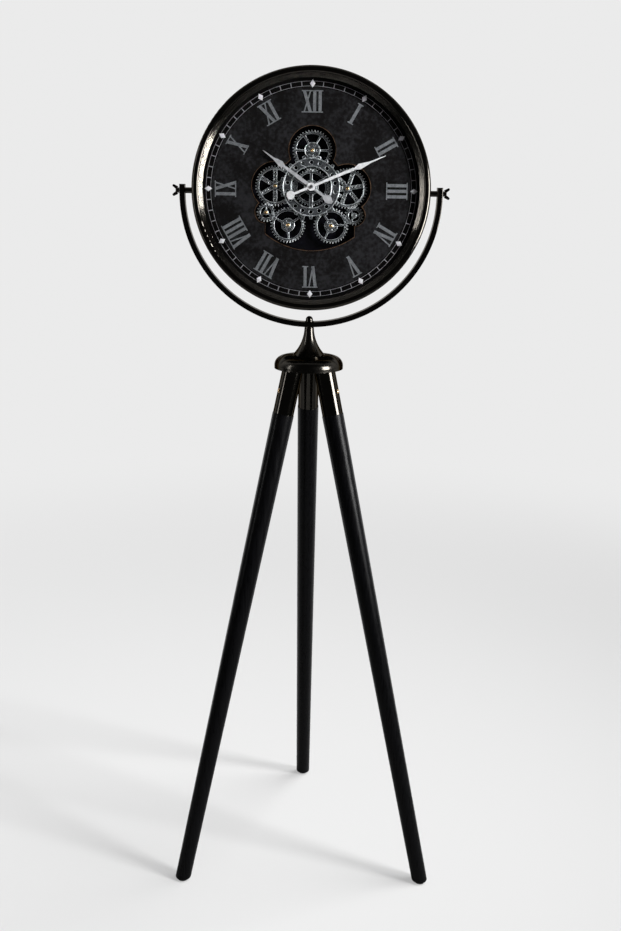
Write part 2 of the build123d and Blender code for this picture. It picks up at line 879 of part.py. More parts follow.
def make_top_wheel(name, spoke_start):
    """Large wheel with six tapered spokes and a drilled hub disc."""
    place = places[name]
    with BuildPart() as wheel:
        with BuildSketch(train.offset(wheel_level_height)):
            with Locations(place):
                width = spoke_widths["large"]
                hub = top_hub_radius
                open_wheel(name, large_spoke_count, spoke_start, hub, width * spoke_taper_share, width)
                with PolarLocations(hub * hub_hole_share, hub_hole_count, start_angle=spoke_start):
                    Circle(hub_hole_radius, mode=Mode.SUBTRACT)
        extrude(amount=wheel_thickness)
        bead = wheel_disc(place, top_hub_radius, top_hub_radius - bead_width)
        extrude(bead, amount=wheel_thickness + bead_height)
        extrude(wheel_disc(place, pin_collar_radius), amount=wheel_thickness + wheel_boss_height)
        bore = wheel_disc(place, pin_radius + running_gap)
        extrude(bore, amount=wheel_thickness + wheel_boss_height, mode=Mode.SUBTRACT)
    return wheel.part


def make_middle_wheel(name, spoke_start):
    """Middle wheel with three spokes and a drilled hub disc."""
    place = places[name]
    with BuildPart() as wheel:
        with BuildSketch(train.offset(wheel_level_height)):
            with Locations(place):
                hub = hub_radii["middle"]
                width = spoke_widths["middle"]
                open_wheel(name, small_spoke_count, spoke_start, hub, width, width * spoke_taper_share)
                with PolarLocations(hub * hub_hole_share, hub_hole_count, start_angle=spoke_start):
                    Circle(hub_hole_radius, mode=Mode.SUBTRACT)
        extrude(amount=wheel_thickness)
        extrude(wheel_disc(place, pin_collar_radius), amount=wheel_thickness + wheel_boss_height)
        bore = wheel_disc(place, pin_radius + running_gap)
        extrude(bore, amount=wheel_thickness + wheel_boss_height, mode=Mode.SUBTRACT)
    return wheel.part


def make_small_wheel(name, spoke_start):
    """Small wheel with three plain spokes."""
    place = places[name]
    with BuildPart() as wheel:
        with BuildSketch(train.offset(wheel_level_height)):
            with Locations(place):
                width = spoke_widths["small"]
                open_wheel(name, small_spoke_count, spoke_start, hub_radii["small"], width, width)
        extrude(amount=wheel_thickness)
        extrude(wheel_disc(place, pin_collar_radius), amount=wheel_thickness + wheel_boss_height)
        bore = wheel_disc(place, pin_radius + running_gap)
        extrude(bore, amount=wheel_thickness + wheel_boss_height, mode=Mode.SUBTRACT)
    return wheel.part


wheel_makers = {
    "top_wheel": make_top_wheel,
    "left_wheel": make_drilled_wheel,
    "right_wheel": make_drilled_wheel,
    "lower_left_small_wheel": make_small_wheel,
    "lower_left_middle_wheel": make_middle_wheel,
    "lower_right_small_wheel": make_small_wheel,
    "lower_right_middle_wheel": make_middle_wheel,
}
for name, maker in wheel_makers.items():
    save(maker(name, spoke_angles[name]), name)

# Centre wheel: drives the three large wheels and carries the coarse ring
hub_foot = plate_level_height + plate_thickness + bush_flange_thickness + seat_gap
with BuildPart() as centre_wheel:
    with BuildSketch(train.offset(wheel_level_height)):
        width = spoke_widths["large"]
        start = spoke_angles["centre_wheel"]
        open_wheel("centre_wheel", small_spoke_count, start, ring_hub_radius, width, width)
    extrude(amount=wheel_thickness)
    with BuildSketch(train.offset(hub_foot)):
        Circle(ring_hub_radius)
    extrude(amount=ring_level_height - hub_foot)
    with BuildSketch(train.offset(hub_foot)):
        Circle(bush_radius + running_gap)
    extrude(amount=ring_level_height - hub_foot, mode=Mode.SUBTRACT)
save(centre_wheel.part, "centre_wheel")

# Coarse ring: blunt teeth, two raised lines, round holes and three spokes
with BuildPart() as ring_wheel:
    stations = (
        (ring_root_radius, -ring_tooth_root_share),
        (ring_tip_radius, -ring_tooth_tip_share),
        (ring_tip_radius, ring_tooth_tip_share),
        (ring_root_radius, ring_tooth_root_share),
    )
    with BuildSketch(train.offset(ring_level_height)):
        Polygon(*toothed_outline(ring_teeth, 0, stations), align=None)
        Circle(ring_inner_radius, mode=Mode.SUBTRACT)
        Circle(ring_hub_radius)
        with PolarLocations(0, small_spoke_count, start_angle=spoke_angles["ring_wheel"]):
            spoke = spoke_outline(
                ring_hub_radius - overrun_length,
                ring_inner_radius + overrun_length,
                ring_spoke_width,
                ring_spoke_width,
            )
            Polygon(*spoke, align=None)
        with PolarLocations(ring_hole_circle, ring_hole_count, start_angle=spoke_angles["ring_wheel"]):
            Circle(ring_hole_radius, mode=Mode.SUBTRACT)
        Circle(bush_radius + running_gap, mode=Mode.SUBTRACT)
    extrude(amount=wheel_thickness)
    with BuildSketch(train.offset(ring_level_height + wheel_thickness)):
        Circle(ring_root_radius)
        Circle(ring_root_radius - ring_bead_width, mode=Mode.SUBTRACT)
    extrude(amount=ring_bead_height)
    with BuildSketch(train.offset(ring_level_height + wheel_thickness)):
        Circle(ring_inner_radius + ring_bead_width)
        Circle(ring_inner_radius, mode=Mode.SUBTRACT)
    extrude(amount=ring_bead_height)
save(ring_wheel.part, "ring_wheel")

# Pins of the wheels, with a collar behind and a domed head in front
pin_names = [name for name, *_ in train_order if name != "lower_right_small_wheel"]
plate_front = plate_level_height + plate_thickness
pin_head_foot = wheel_level_height + wheel_thickness + wheel_boss_height + seat_gap
middle_out, middle_up = dome_middle(pin_head_radius, pin_head_height)
with BuildPart() as wheel_pins:
    for name in pin_names:
        place = places[name]
        origin = train.from_local_coords((place[0], place[1], 0))
        section = Plane(origin=origin, x_dir=train.x_dir, z_dir=-train.y_dir)
        with BuildSketch(section):
            with BuildLine():
                stem = Polyline(
                    (0, plate_level_height),
                    (pin_radius, plate_level_height),
                    (pin_radius, plate_front),
                    (pin_collar_radius, plate_front),
                    (pin_collar_radius, wheel_level_height - seat_gap),
                    (pin_radius, wheel_level_height - seat_gap),
                    (pin_radius, pin_head_foot),
                    (pin_head_radius, pin_head_foot),
                )
                head = ThreePointArc(
                    stem @ 1,
                    (middle_out, pin_head_foot + middle_up),
                    (0, pin_head_foot + pin_head_height),
                )
                Line(head @ 1, stem @ 0)
            make_face()
        revolve(axis=Axis(origin, train.z_dir))
save(wheel_pins.part, "wheel_pins")

# Bush that clamps the movement to the plate and carries the centre wheel
bush_front = ring_level_height + wheel_thickness + seat_gap
with BuildPart() as centre_bush:
    bore = stem_radius + running_gap
    points = (
        (bore, plate_front),
        (bush_flange_radius, plate_front),
        (bush_flange_radius, plate_front + bush_flange_thickness),
        (bush_radius, plate_front + bush_flange_thickness),
        (bush_radius, bush_front),
        (bore, bush_front),
    )
    revolve(outline_face(train_section, points), axis=train_axis)
save(centre_bush.part, "centre_bush")

with BuildPart() as bush_cap:
    with BuildSketch(train.offset(bush_front)):
        Circle(bush_flange_radius)
        Circle(stem_radius + running_gap, mode=Mode.SUBTRACT)
    extrude(amount=bush_flange_thickness)
save(bush_cap.part, "bush_cap")

# Mechanism plate behind the train
with BuildPart() as mechanism_plate:
    with BuildSketch(train.offset(plate_level_height)):
        Circle(plate_radius)
        with Locations(*[places[name] for name in pin_names]):
            Circle(pin_radius + running_gap, mode=Mode.SUBTRACT)
        with Locations(places["lower_right_small_wheel"]):
            Circle(drive_shaft_radius + fit_gap, mode=Mode.SUBTRACT)
        Circle(stem_radius + running_gap, mode=Mode.SUBTRACT)
    extrude(amount=plate_thickness)
save(mechanism_plate.part, "mechanism_plate")

pillar_points = []
for inset, direction in (
    (pillar_upper_inset_width, math.radians(pillar_upper_angle)),
    (pillar_lower_inset_width, math.radians(pillar_lower_angle)),
):
    reach = plate_radius - inset
    for side in sides:
        pillar_points.append((side * reach * math.cos(direction), reach * math.sin(direction)))

with BuildPart() as plate_pillars:
    with BuildSketch(train.offset(plate_front)):
        with Locations(*pillar_points):
            Circle(pillar_radius)
    extrude(amount=dial_back - plate_front)
save(plate_pillars.part, "plate_pillars")

with BuildPart() as pillar_screws:
    with BuildSketch(train.offset(plate_level_height - pillar_screw_height)):
        with Locations(*pillar_points):
            Circle(pillar_screw_radius)
    extrude(amount=pillar_screw_height)
save(pillar_screws.part, "pillar_screws")


# Opening of the dial over the train
opening_corners = (places["lower_left_small_wheel"], places["lower_right_small_wheel"])
opening_centre_radius = ring_tip_radius + opening_centre_gap
opening_top_radius = tip_radius(large_teeth) + opening_top_gap
opening_side_radius = tip_radius(large_teeth) + opening_side_gap
opening_small_radius = tip_radius(small_teeth) + opening_small_gap


def opening_face(level, grown=0):
    """Round lobes over the wheels and a bowed skirt below, grown on request."""
    small_drop = opening_corners[0][1]
    with BuildSketch(train.offset(level)) as face:
        Circle(opening_centre_radius + grown)
        with Locations(places["top_wheel"]):
            Circle(opening_top_radius + grown)
        with Locations(places["left_wheel"], places["right_wheel"]):
            Circle(opening_side_radius + grown)
        with Locations(*opening_corners):
            Circle(opening_small_radius + grown)
        with BuildLine():
            rim = Polyline(
                (-opening_left_width - grown, -opening_left_height - grown),
                (-opening_left_width - grown, small_drop),
                (opening_right_width + grown, small_drop),
                (opening_right_width + grown, -opening_right_height - grown),
            )
            ThreePointArc(
                rim @ 1,
                ((opening_right_width - opening_left_width) / 2, -opening_bottom_height - grown),
                rim @ 0,
            )
        make_face()
        with BuildLine():
            Polyline((0, 0), *opening_corners, close=True)
        make_face()
    return face.sketch


with BuildPart() as dial_plate:
    extrude(disc_face(dial.offset(dial_back), (0, 0), dial_radius), amount=dial_thickness)
    extrude(opening_face(dial_back), amount=dial_thickness, mode=Mode.SUBTRACT)
save(dial_plate.part, "dial_plate")

with BuildPart() as opening_trim:
    extrude(opening_face(dial_front_depth, trim_width), amount=trim_thickness)
    extrude(opening_face(dial_front_depth), amount=trim_thickness, mode=Mode.SUBTRACT)
save(opening_trim.part, "opening_trim")

# Back cover with a window over the movement and the drive
with BuildPart() as back_cover:
    with BuildSketch(dial.offset(-drum_back_depth - sheet_thickness - fit_gap)):
        Circle(cover_radius)
        with Locations((0, -window_drop_height)):
            RectangleRounded(window_width, window_height, window_corner_radius, mode=Mode.SUBTRACT)
        with PolarLocations(cover_screw_circle, cover_screw_count):
            Circle(cover_screw_radius + fit_gap, mode=Mode.SUBTRACT)
    extrude(amount=sheet_thickness)
save(back_cover.part, "back_cover")

with BuildPart() as cover_screws:
    head_level = -drum_back_depth - sheet_thickness - fit_gap * 2
    with BuildSketch(dial.offset(head_level)):
        with PolarLocations(cover_screw_circle, cover_screw_count):
            Circle(cover_screw_head_radius)
    extrude(amount=-cover_screw_head_height)
    with BuildSketch(dial.offset(head_level)):
        with PolarLocations(cover_screw_circle, cover_screw_count):
            Circle(cover_screw_radius)
    extrude(amount=sheet_thickness * 2 + fit_gap + overrun_length)
save(cover_screws.part, "cover_screws")

# Clock movement: a flat box with a stem in front and a cell bay behind
movement_back = plate_level_height - movement_depth
hour_tube_start = plate_level_height - movement_depth / 2
with BuildPart() as movement:
    with BuildSketch(train.offset(movement_back)):
        RectangleRounded(movement_width, movement_width, movement_corner_radius)
    extrude(amount=movement_depth)
    with BuildSketch(train.offset(plate_level_height)):
        Circle(stem_radius)
    extrude(amount=stem_front_height - plate_level_height)
    with BuildSketch(train.offset(hour_tube_start)):
        Circle(hour_tube_radius + running_gap)
    extrude(amount=stem_front_height - hour_tube_start, mode=Mode.SUBTRACT)
    with BuildSketch(train.offset(movement_back)):
        with Locations((0, -bay_drop_height)):
            Rectangle(cell_length + bay_gap, (cell_radius + running_gap) * 2)
    extrude(amount=cell_radius * 2, mode=Mode.SUBTRACT)
    with BuildSketch(train.offset(movement_back)):
        with Locations((0, knob_rise_height)):
            Circle(knob_stem_radius + running_gap)
    extrude(amount=movement_depth / 2, mode=Mode.SUBTRACT)
save(movement.part, "movement")


def make_cell(place, level):
    """Cell lying along x with its button at one end."""
    start = Plane(
        origin=train.from_local_coords((place[0] - cell_length / 2, place[1], level)),
        x_dir=train.y_dir,
        z_dir=train.x_dir,
    )
    with BuildPart() as cell:
        with BuildSketch(start):
            Circle(cell_radius)
        extrude(amount=cell_length - cell_button_length)
        with BuildSketch(start.offset(cell_length - cell_button_length)):
            Circle(cell_button_radius)
        extrude(amount=cell_button_length)
    return cell.part


movement_cell = make_cell((0, -bay_drop_height), movement_back + cell_radius)
save(movement_cell, "movement_cell")

# Fluted knob that sets the hands
with BuildPart() as set_knob:
    with BuildSketch(train.offset(movement_back - seat_gap)):
        with Locations((0, knob_rise_height)):
            Circle(knob_radius)
            with PolarLocations(knob_radius, knob_flute_count):
                Circle(knob_flute_radius, mode=Mode.SUBTRACT)
    extrude(amount=-knob_height)
    with BuildSketch(train.offset(movement_back - seat_gap)):
        with Locations((0, knob_rise_height)):
            Circle(knob_stem_radius)
    extrude(amount=movement_depth / 2 - overrun_length)
save(set_knob.part, "set_knob")

# Gear drive: its box hangs on the plate with its shaft under the small wheel
drive_place = places["lower_right_small_wheel"]
drive_centre = (drive_place[0] - drive_shaft_offset_length, drive_place[1])
drive_back = plate_level_height - drive_depth
cell_drops = (drive_bay_drop_height, drive_bay_drop_height + cell_radius * 2 + bay_gap)
with BuildPart() as gear_drive:
    with BuildSketch(train.offset(drive_back)):
        with Locations(drive_centre):
            RectangleRounded(drive_width, drive_height, movement_corner_radius)
    extrude(amount=drive_depth)
    with BuildSketch(train.offset(drive_back)):
        for drop in cell_drops:
            with Locations((drive_centre[0], drive_centre[1] - drop)):
                Rectangle(cell_length + bay_gap, (cell_radius + running_gap) * 2)
    extrude(amount=cell_radius * 2, mode=Mode.SUBTRACT)
    with BuildSketch(train.offset(plate_level_height)):
        with Locations(drive_place):
            Circle(drive_shaft_radius + running_gap)
    extrude(amount=-drive_shaft_bite_depth, mode=Mode.SUBTRACT)
save(gear_drive.part, "gear_drive")

with BuildPart() as drive_cells:
    for drop in cell_drops:
        add(make_cell((drive_centre[0], drive_centre[1] - drop), drive_back + cell_radius))
save(drive_cells.part, "drive_cells")

shaft_start = plate_level_height - drive_shaft_bite_depth + overrun_length
shaft_shoulder = wheel_level_height - running_gap
with BuildPart() as drive_shaft:
    with BuildSketch(train.offset(shaft_start)):
        with Locations(drive_place):
            Circle(drive_shaft_radius)
    extrude(amount=shaft_shoulder - shaft_start)
    with BuildSketch(train.offset(shaft_shoulder)):
        with Locations(drive_place):
            Circle(pin_radius)
    extrude(amount=wheel_thickness + wheel_boss_height)
save(drive_shaft.part, "drive_shaft")

# Hands: each is drawn along +Y, then turned to the time shown
minute_turn = -time_minutes * 360 / 60
hour_turn = -(time_hours + time_minutes / 60) * 360 / 12


def half_outline(length, arm_half, arm_shares, leaf_half, leaf_shares):
    """Right edge of a hand from its boss to its tip."""
    edge = [(arm_half * wide, length * far) for far, wide in arm_shares]
    arm_end = edge[-1][1]
    edge.append((notch_half_width, arm_end + collar_length / 2))
    edge.extend((leaf_half * wide, length * far) for far, wide in leaf_shares)
    edge.append((tip_half_width, length))
    return edge


def both_sides(edge):
    """Close a right edge with its mirror image."""
    return list(edge) + [(-x, y) for x, y in reversed(edge)]


def hand_plane(level, turn):
    """Plane of a hand with +Y along the hand."""
    angle = math.radians(turn)
    across = train.x_dir * math.cos(angle) + train.y_dir * math.sin(angle)
    return Plane(origin=train.offset(level).origin, x_dir=across, z_dir=train.z_dir)


with BuildPart() as hour_hand:
    with BuildSketch(hand_plane(hour_level_height, hour_turn)):
        edge = half_outline(
            hour_length,
            hour_arm_half_width,
            hour_arm_shares,
            hour_leaf_half_width,
            hour_leaf_shares,
        )
        Polygon(*both_sides(edge), align=None)
        tail = [(hour_tail_half_width * wide, -hour_tail_length * far) for far, wide in hour_tail_shares]
        Polygon(*both_sides([(tail_half_width, 0)] + tail), align=None)
        Circle(hour_boss_radius)
        Circle(hour_tube_radius + running_gap, mode=Mode.SUBTRACT)
    extrude(amount=hand_thickness)
save(hour_hand.part, "hour_hand")

with BuildPart() as minute_hand:
    with BuildSketch(hand_plane(minute_level_height, minute_turn)):
        edge = half_outline(
            minute_length,
            minute_arm_half_width,
            minute_arm_shares,
            minute_leaf_half_width,
            minute_leaf_shares,
        )
        Polygon(*both_sides(edge), align=None)
        tail = [(tail_half_width, 0), (tail_half_width, -minute_tail_length)]
        Polygon(*both_sides(tail), align=None)
        with Locations((0, -minute_tail_length)):
            Circle(minute_tail_radius)
        Circle(minute_boss_radius)
        Circle(minute_shaft_radius + running_gap, mode=Mode.SUBTRACT)
    extrude(amount=hand_thickness)
save(minute_hand.part, "minute_hand")

# Tube and shaft that carry the hands, and the nut in front
with BuildPart() as hour_tube:
    tube_foot = hour_tube_start + overrun_length
    with BuildSketch(train.offset(tube_foot)):
        Circle(hour_tube_radius)
        Circle(minute_shaft_radius + running_gap, mode=Mode.SUBTRACT)
    extrude(amount=hour_level_height + hand_thickness - tube_foot)
save(hour_tube.part, "hour_tube")

nut_back = minute_level_height + hand_thickness
with BuildPart() as minute_shaft:
    shaft_foot = hour_tube_start + overrun_length
    with BuildSketch(train.offset(shaft_foot)):
        Circle(minute_shaft_radius)
    extrude(amount=nut_back + hand_nut_height + shaft_proud_height - shaft_foot)
save(minute_shaft.part, "minute_shaft")

with BuildPart() as hand_nut:
    with BuildSketch(train.offset(nut_back)):
        Circle(hand_nut_radius)
    extrude(amount=hand_nut_height)
    front = hand_nut.faces().sort_by(train_axis)[-1]
    fillet(front.edges(), hand_nut_edge_radius)
    with BuildSketch(train.offset(nut_back)):
        Circle(minute_shaft_radius + running_gap)
    extrude(amount=hand_nut_height, mode=Mode.SUBTRACT)
save(hand_nut.part, "hand_nut")
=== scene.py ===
import json
import math

import bpy
from bpy.props import FloatProperty, FloatVectorProperty, IntProperty, PointerProperty
from mathutils import Matrix, Vector


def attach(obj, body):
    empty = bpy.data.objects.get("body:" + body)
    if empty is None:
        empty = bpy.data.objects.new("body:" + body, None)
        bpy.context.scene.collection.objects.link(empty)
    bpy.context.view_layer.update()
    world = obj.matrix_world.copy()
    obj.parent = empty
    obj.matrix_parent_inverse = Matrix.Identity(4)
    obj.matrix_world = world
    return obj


bl_info = {
    "name": "Tripod clock",
    "version": (1, 0, 0),
    "blender": (4, 5, 0),
    "location": "3D View > Sidebar > Clock",
    "description": "Dresses a tripod clock with an open wheel train and sets up its studio",
    "category": "Object",
}

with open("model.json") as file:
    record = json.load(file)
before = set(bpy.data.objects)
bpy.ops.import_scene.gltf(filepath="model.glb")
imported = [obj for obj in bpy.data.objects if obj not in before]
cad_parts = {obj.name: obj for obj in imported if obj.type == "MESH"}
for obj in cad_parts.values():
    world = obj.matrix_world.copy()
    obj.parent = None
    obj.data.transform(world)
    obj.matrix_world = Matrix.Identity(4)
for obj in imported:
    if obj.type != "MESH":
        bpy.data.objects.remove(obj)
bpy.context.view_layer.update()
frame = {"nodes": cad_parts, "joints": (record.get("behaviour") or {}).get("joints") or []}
cad_nodes = frame["nodes"]
joint_places = {joint["name"]: joint for joint in frame["joints"]}

# Places that come from the frame
tilt_point = Vector(joint_places["head_tilt"]["pos_m"])
dial_normal = Vector(joint_places["minute_turn"]["axis"]).normalized()
dial_right = Vector((1, 0, 0))
dial_up = dial_normal.cross(dial_right).normalized()


def frame_matrix(origin, right, up, normal):
    """Matrix of a local frame whose z axis is the normal."""
    matrix = Matrix((right, up, normal)).transposed().to_4x4()
    matrix.translation = origin
    return matrix


dial_frame = frame_matrix(tilt_point, dial_right, dial_up, dial_normal)
hours_shown = 12


class ClockSizes(bpy.types.PropertyGroup):
    """Sizes of the print on the dial."""

    dial_level: FloatProperty(
        name="Dial level", description="Dial's front ahead of the tilt axis",
        default=0.032, unit="LENGTH",
    )
    print_height: FloatProperty(
        name="Print height", description="How far the print stands on the dial",
        default=0.00025, unit="LENGTH",
    )
    track_outer: FloatProperty(
        name="Track outside", description="Radius of the minute track's outer line",
        default=0.2042, unit="LENGTH",
    )
    track_inner: FloatProperty(
        name="Track inside", description="Radius of the minute track's inner line",
        default=0.1945, unit="LENGTH",
    )
    track_line: FloatProperty(
        name="Track line", description="Width of the minute track's two lines",
        default=0.0007, unit="LENGTH",
    )
    tick_width: FloatProperty(
        name="Tick width", description="Width of a minute mark",
        default=0.0016, unit="LENGTH",
    )
    diamond_length: FloatProperty(
        name="Diamond length", description="Radial length of an hour diamond",
        default=0.0145, unit="LENGTH",
    )
    diamond_width: FloatProperty(
        name="Diamond width", description="Width of an hour diamond",
        default=0.0104, unit="LENGTH",
    )
    numeral_inner: FloatProperty(
        name="Numeral foot", description="Radius of the numerals' feet",
        default=0.1455, unit="LENGTH",
    )
    numeral_height: FloatProperty(
        name="Numeral height", description="Height of the numerals",
        default=0.0415, unit="LENGTH",
    )
    thick_stroke: FloatProperty(
        name="Thick stroke", description="Width of a numeral's thick stroke",
        default=0.0060, unit="LENGTH",
    )
    thin_stroke: FloatProperty(
        name="Thin stroke", description="Width of a numeral's thin stroke",
        default=0.0026, unit="LENGTH",
    )
    serif: FloatProperty(
        name="Serif", description="Height of the serif lines",
        default=0.0020, unit="LENGTH",
    )
    bar_pitch: FloatProperty(
        name="Bar pitch", description="Step from one upright stroke to the next",
        default=0.0106, unit="LENGTH",
    )
    slant_width: FloatProperty(
        name="Slanted letter", description="Width of a letter with slanted strokes",
        default=0.0190, unit="LENGTH",
    )
    minutes: IntProperty(
        name="Minutes", description="Marks round the minute track", default=60, min=12,
    )


class ClockColours(bpy.types.PropertyGroup):
    """Colours of the finishes and of the studio."""

    nickel: FloatVectorProperty(
        name="Black nickel", description="Glossy dark metal", subtype="COLOR",
        default=(0.055, 0.051, 0.045), min=0, max=1,
    )
    wood: FloatVectorProperty(
        name="Black wood", description="Stained poles", subtype="COLOR",
        default=(0.0022, 0.0022, 0.0026), min=0, max=1,
    )
    dial_dark: FloatVectorProperty(
        name="Dial dark", description="Darkest tone of the dial", subtype="COLOR",
        default=(0.0065, 0.0062, 0.0062), min=0, max=1,
    )
    dial_light: FloatVectorProperty(
        name="Dial light", description="Scuffed tone of the dial", subtype="COLOR",
        default=(0.021, 0.021, 0.023), min=0, max=1,
    )
    numeral: FloatVectorProperty(
        name="Numeral", description="Grey of the numerals", subtype="COLOR",
        default=(0.17, 0.18, 0.19), min=0, max=1,
    )
    track: FloatVectorProperty(
        name="Track", description="Grey of the minute track's lines", subtype="COLOR",
        default=(0.26, 0.26, 0.28), min=0, max=1,
    )
    diamond: FloatVectorProperty(
        name="Diamonds", description="White of the hour diamonds", subtype="COLOR",
        default=(0.72, 0.72, 0.76), min=0, max=1,
    )
    pewter: FloatVectorProperty(
        name="Pewter", description="Silver of the wheels", subtype="COLOR",
        default=(0.105, 0.114, 0.124), min=0, max=1,
    )
    brass: FloatVectorProperty(
        name="Brass", description="Pins and bushes", subtype="COLOR",
        default=(0.55, 0.38, 0.20), min=0, max=1,
    )
    copper: FloatVectorProperty(
        name="Copper", description="Line round the opening", subtype="COLOR",
        default=(0.095, 0.057, 0.033), min=0, max=1,
    )
    hand_white: FloatVectorProperty(
        name="Minute hand", description="Pale satin of the minute hand", subtype="COLOR",
        default=(0.86, 0.87, 0.89), min=0, max=1,
    )
    hand_grey: FloatVectorProperty(
        name="Hour hand", description="Grey satin of the hour hand", subtype="COLOR",
        default=(0.46, 0.47, 0.49), min=0, max=1,
    )
    hand_nut: FloatVectorProperty(
        name="Hand nut", description="Darkened nut on the hands", subtype="COLOR",
        default=(0.12, 0.12, 0.125), min=0, max=1,
    )
    steel: FloatVectorProperty(
        name="Steel", description="Studs, washers, pillars and screws", subtype="COLOR",
        default=(0.30, 0.30, 0.31), min=0, max=1,
    )
    plate: FloatVectorProperty(
        name="Plate", description="Blackened plates behind the wheels", subtype="COLOR",
        default=(0.0030, 0.0030, 0.0045), min=0, max=1,
    )
    moulding: FloatVectorProperty(
        name="Moulding", description="Cases of the movement and the drive", subtype="COLOR",
        default=(0.026, 0.026, 0.028), min=0, max=1,
    )
    rubber: FloatVectorProperty(
        name="Rubber", description="Pads under the poles", subtype="COLOR",
        default=(0.012, 0.012, 0.012), min=0, max=1,
    )
    cell: FloatVectorProperty(
        name="Cell", description="Wrap of the cells", subtype="COLOR",
        default=(0.10, 0.11, 0.13), min=0, max=1,
    )
    backdrop: FloatVectorProperty(
        name="Backdrop", description="Pale studio background", subtype="COLOR",
        default=(0.83, 0.83, 0.83), min=0, max=1,
    )


def sizes():
    """The sizes that the operators read."""
    return bpy.context.scene.clock_sizes


def colours():
    """The colours that the operators read."""
    return bpy.context.scene.clock_colours


# Small helpers for modelling
def deselect():
    """Leave nothing selected, in object mode."""
    if bpy.context.object and bpy.context.object.mode != "OBJECT":
        bpy.ops.object.mode_set(mode="OBJECT")
    bpy.ops.object.select_all(action="DESELECT")


def make_active(piece):
    """Select one piece alone."""
    deselect()
    piece.select_set(True)
    bpy.context.view_layer.objects.active = piece


def join_pieces(pieces, name):
    """Join several pieces into one and name it."""
    deselect()
    for piece in pieces:
        piece.select_set(True)
    bpy.context.view_layer.objects.active = pieces[0]
    if len(pieces) > 1:
        bpy.ops.object.join()
    joined = bpy.context.object
    joined.name = name
    joined.data.name = name
    return joined


def settle(piece, place, body, maker):
    """Put a finished piece in its place, paint it and let it ride on its body."""
    make_active(piece)
    piece.matrix_world = place @ piece.matrix_world
    bpy.ops.object.transform_apply(location=True, rotation=True, scale=True)
    piece.data.materials.clear()
    piece.data.materials.append(made_once(maker))
    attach(piece, body)


def select_vertices(piece, test):
    """In edit mode, select the vertices that pass a test."""
    bpy.ops.mesh.select_all(action="DESELECT")
    bpy.ops.object.mode_set(mode="OBJECT")
    for vertex in piece.data.vertices:
        vertex.select = test(vertex)
    bpy.ops.object.mode_set(mode="EDIT")


def slanted_bar(foot_x, head_x, foot_y, head_y, width, height):
    """Flat bar along y, whose head may stand sideways of its foot."""
    middle = (foot_y + head_y) / 2
    bpy.ops.mesh.primitive_cube_add(
        size=1,
        location=(foot_x, middle, height / 2),
        scale=(width, head_y - foot_y, height),
    )
    bar = bpy.context.object
    bpy.ops.object.transform_apply(location=True, rotation=True, scale=True)
    if head_x != foot_x:
        bpy.ops.object.mode_set(mode="EDIT")
        bpy.ops.mesh.select_mode(type="VERT")
        select_vertices(bar, lambda vertex: vertex.co.y > middle)
        bpy.ops.transform.translate(value=(head_x - foot_x, 0, 0))
        bpy.ops.object.mode_set(mode="OBJECT")
    return bar


def flat_ring(outer, inner, height, segments):
    """Thin flat ring: a disc, inset, opened and given its height."""
    bpy.ops.mesh.primitive_circle_add(vertices=segments, radius=outer, fill_type="NGON")
    ring = bpy.context.object
    bpy.ops.object.mode_set(mode="EDIT")
    bpy.ops.mesh.select_mode(type="FACE")
    bpy.ops.mesh.select_all(action="SELECT")
    bpy.ops.mesh.inset(thickness=outer - inner)
    bpy.ops.mesh.delete(type="FACE")
    bpy.ops.mesh.select_all(action="SELECT")
    bpy.ops.mesh.extrude_region_move(TRANSFORM_OT_translate={"value": (0, 0, height)})
    bpy.ops.mesh.select_all(action="SELECT")
    bpy.ops.mesh.normals_make_consistent(inside=False)
    bpy.ops.object.mode_set(mode="OBJECT")
    return ring


def turned_copy(piece, angle):
    """Copy of a piece, with its own mesh, turned about the dial's centre."""
    twin = piece.copy()
    twin.data = piece.data.copy()
    bpy.context.collection.objects.link(twin)
    twin.matrix_world = Matrix.Rotation(angle, 4, "Z") @ piece.matrix_world
    return twin


# Small helpers for shaders
def feed(tree, target, source):
    """Link a socket to another, or give it a fixed value."""
    if isinstance(source, bpy.types.NodeSocket):
        tree.links.new(source, target)
    else:
        target.default_value = source


def fed_node(tree, kind, values):
    """Node whose named inputs are linked or given a value."""
    node = tree.nodes.new(kind)
    for name, source in values.items():
        feed(tree, node.inputs[name], source)
    return node


def operation(tree, kind, action, *sources):
    """Math node that does one operation on its sources."""
    node = tree.nodes.new(kind)
    node.operation = action
    for target, source in zip(node.inputs, sources):
        feed(tree, target, source)
    return node


def number(tree, action, *sources):
    """Result of an operation on numbers."""
    return operation(tree, "ShaderNodeMath", action, *sources).outputs["Value"]


def measure(tree, action, *sources):
    """Number that an operation on vectors gives, such as a length."""
    return operation(tree, "ShaderNodeVectorMath", action, *sources).outputs["Value"]


def stretched(tree, value, low, high, to_low=0, to_high=1, smooth=False):
    """A number moved from one range to another, with soft ends where asked."""
    ends = {"From Min": low, "From Max": high, "To Min": to_low, "To Max": to_high}
    node = fed_node(tree, "ShaderNodeMapRange", {"Value": value, **ends})
    if smooth:
        node.interpolation_type = "SMOOTHSTEP"
    return node.outputs["Result"]


def mixed(tree, kind, factor, first, second):
    """Mix of two numbers or two colours."""
    node = tree.nodes.new("ShaderNodeMix")
    node.data_type = kind
    for name, source in {"Factor": factor, "A": first, "B": second}.items():
        feed(tree, node.inputs[name], source)
    return node.outputs["Result"]


def mixed_shaders(tree, factor, first, second):
    """Mix of two shaders."""
    node = tree.nodes.new("ShaderNodeMixShader")
    for target, source in zip(node.inputs, (factor, first, second)):
        feed(tree, target, source)
    return node.outputs["Shader"]


def noise(tree, place, scale, detail):
    """Noise over a surface."""
    values = {"Vector": place, "Scale": scale, "Detail": detail}
    return fed_node(tree, "ShaderNodeTexNoise", values).outputs["Fac"]


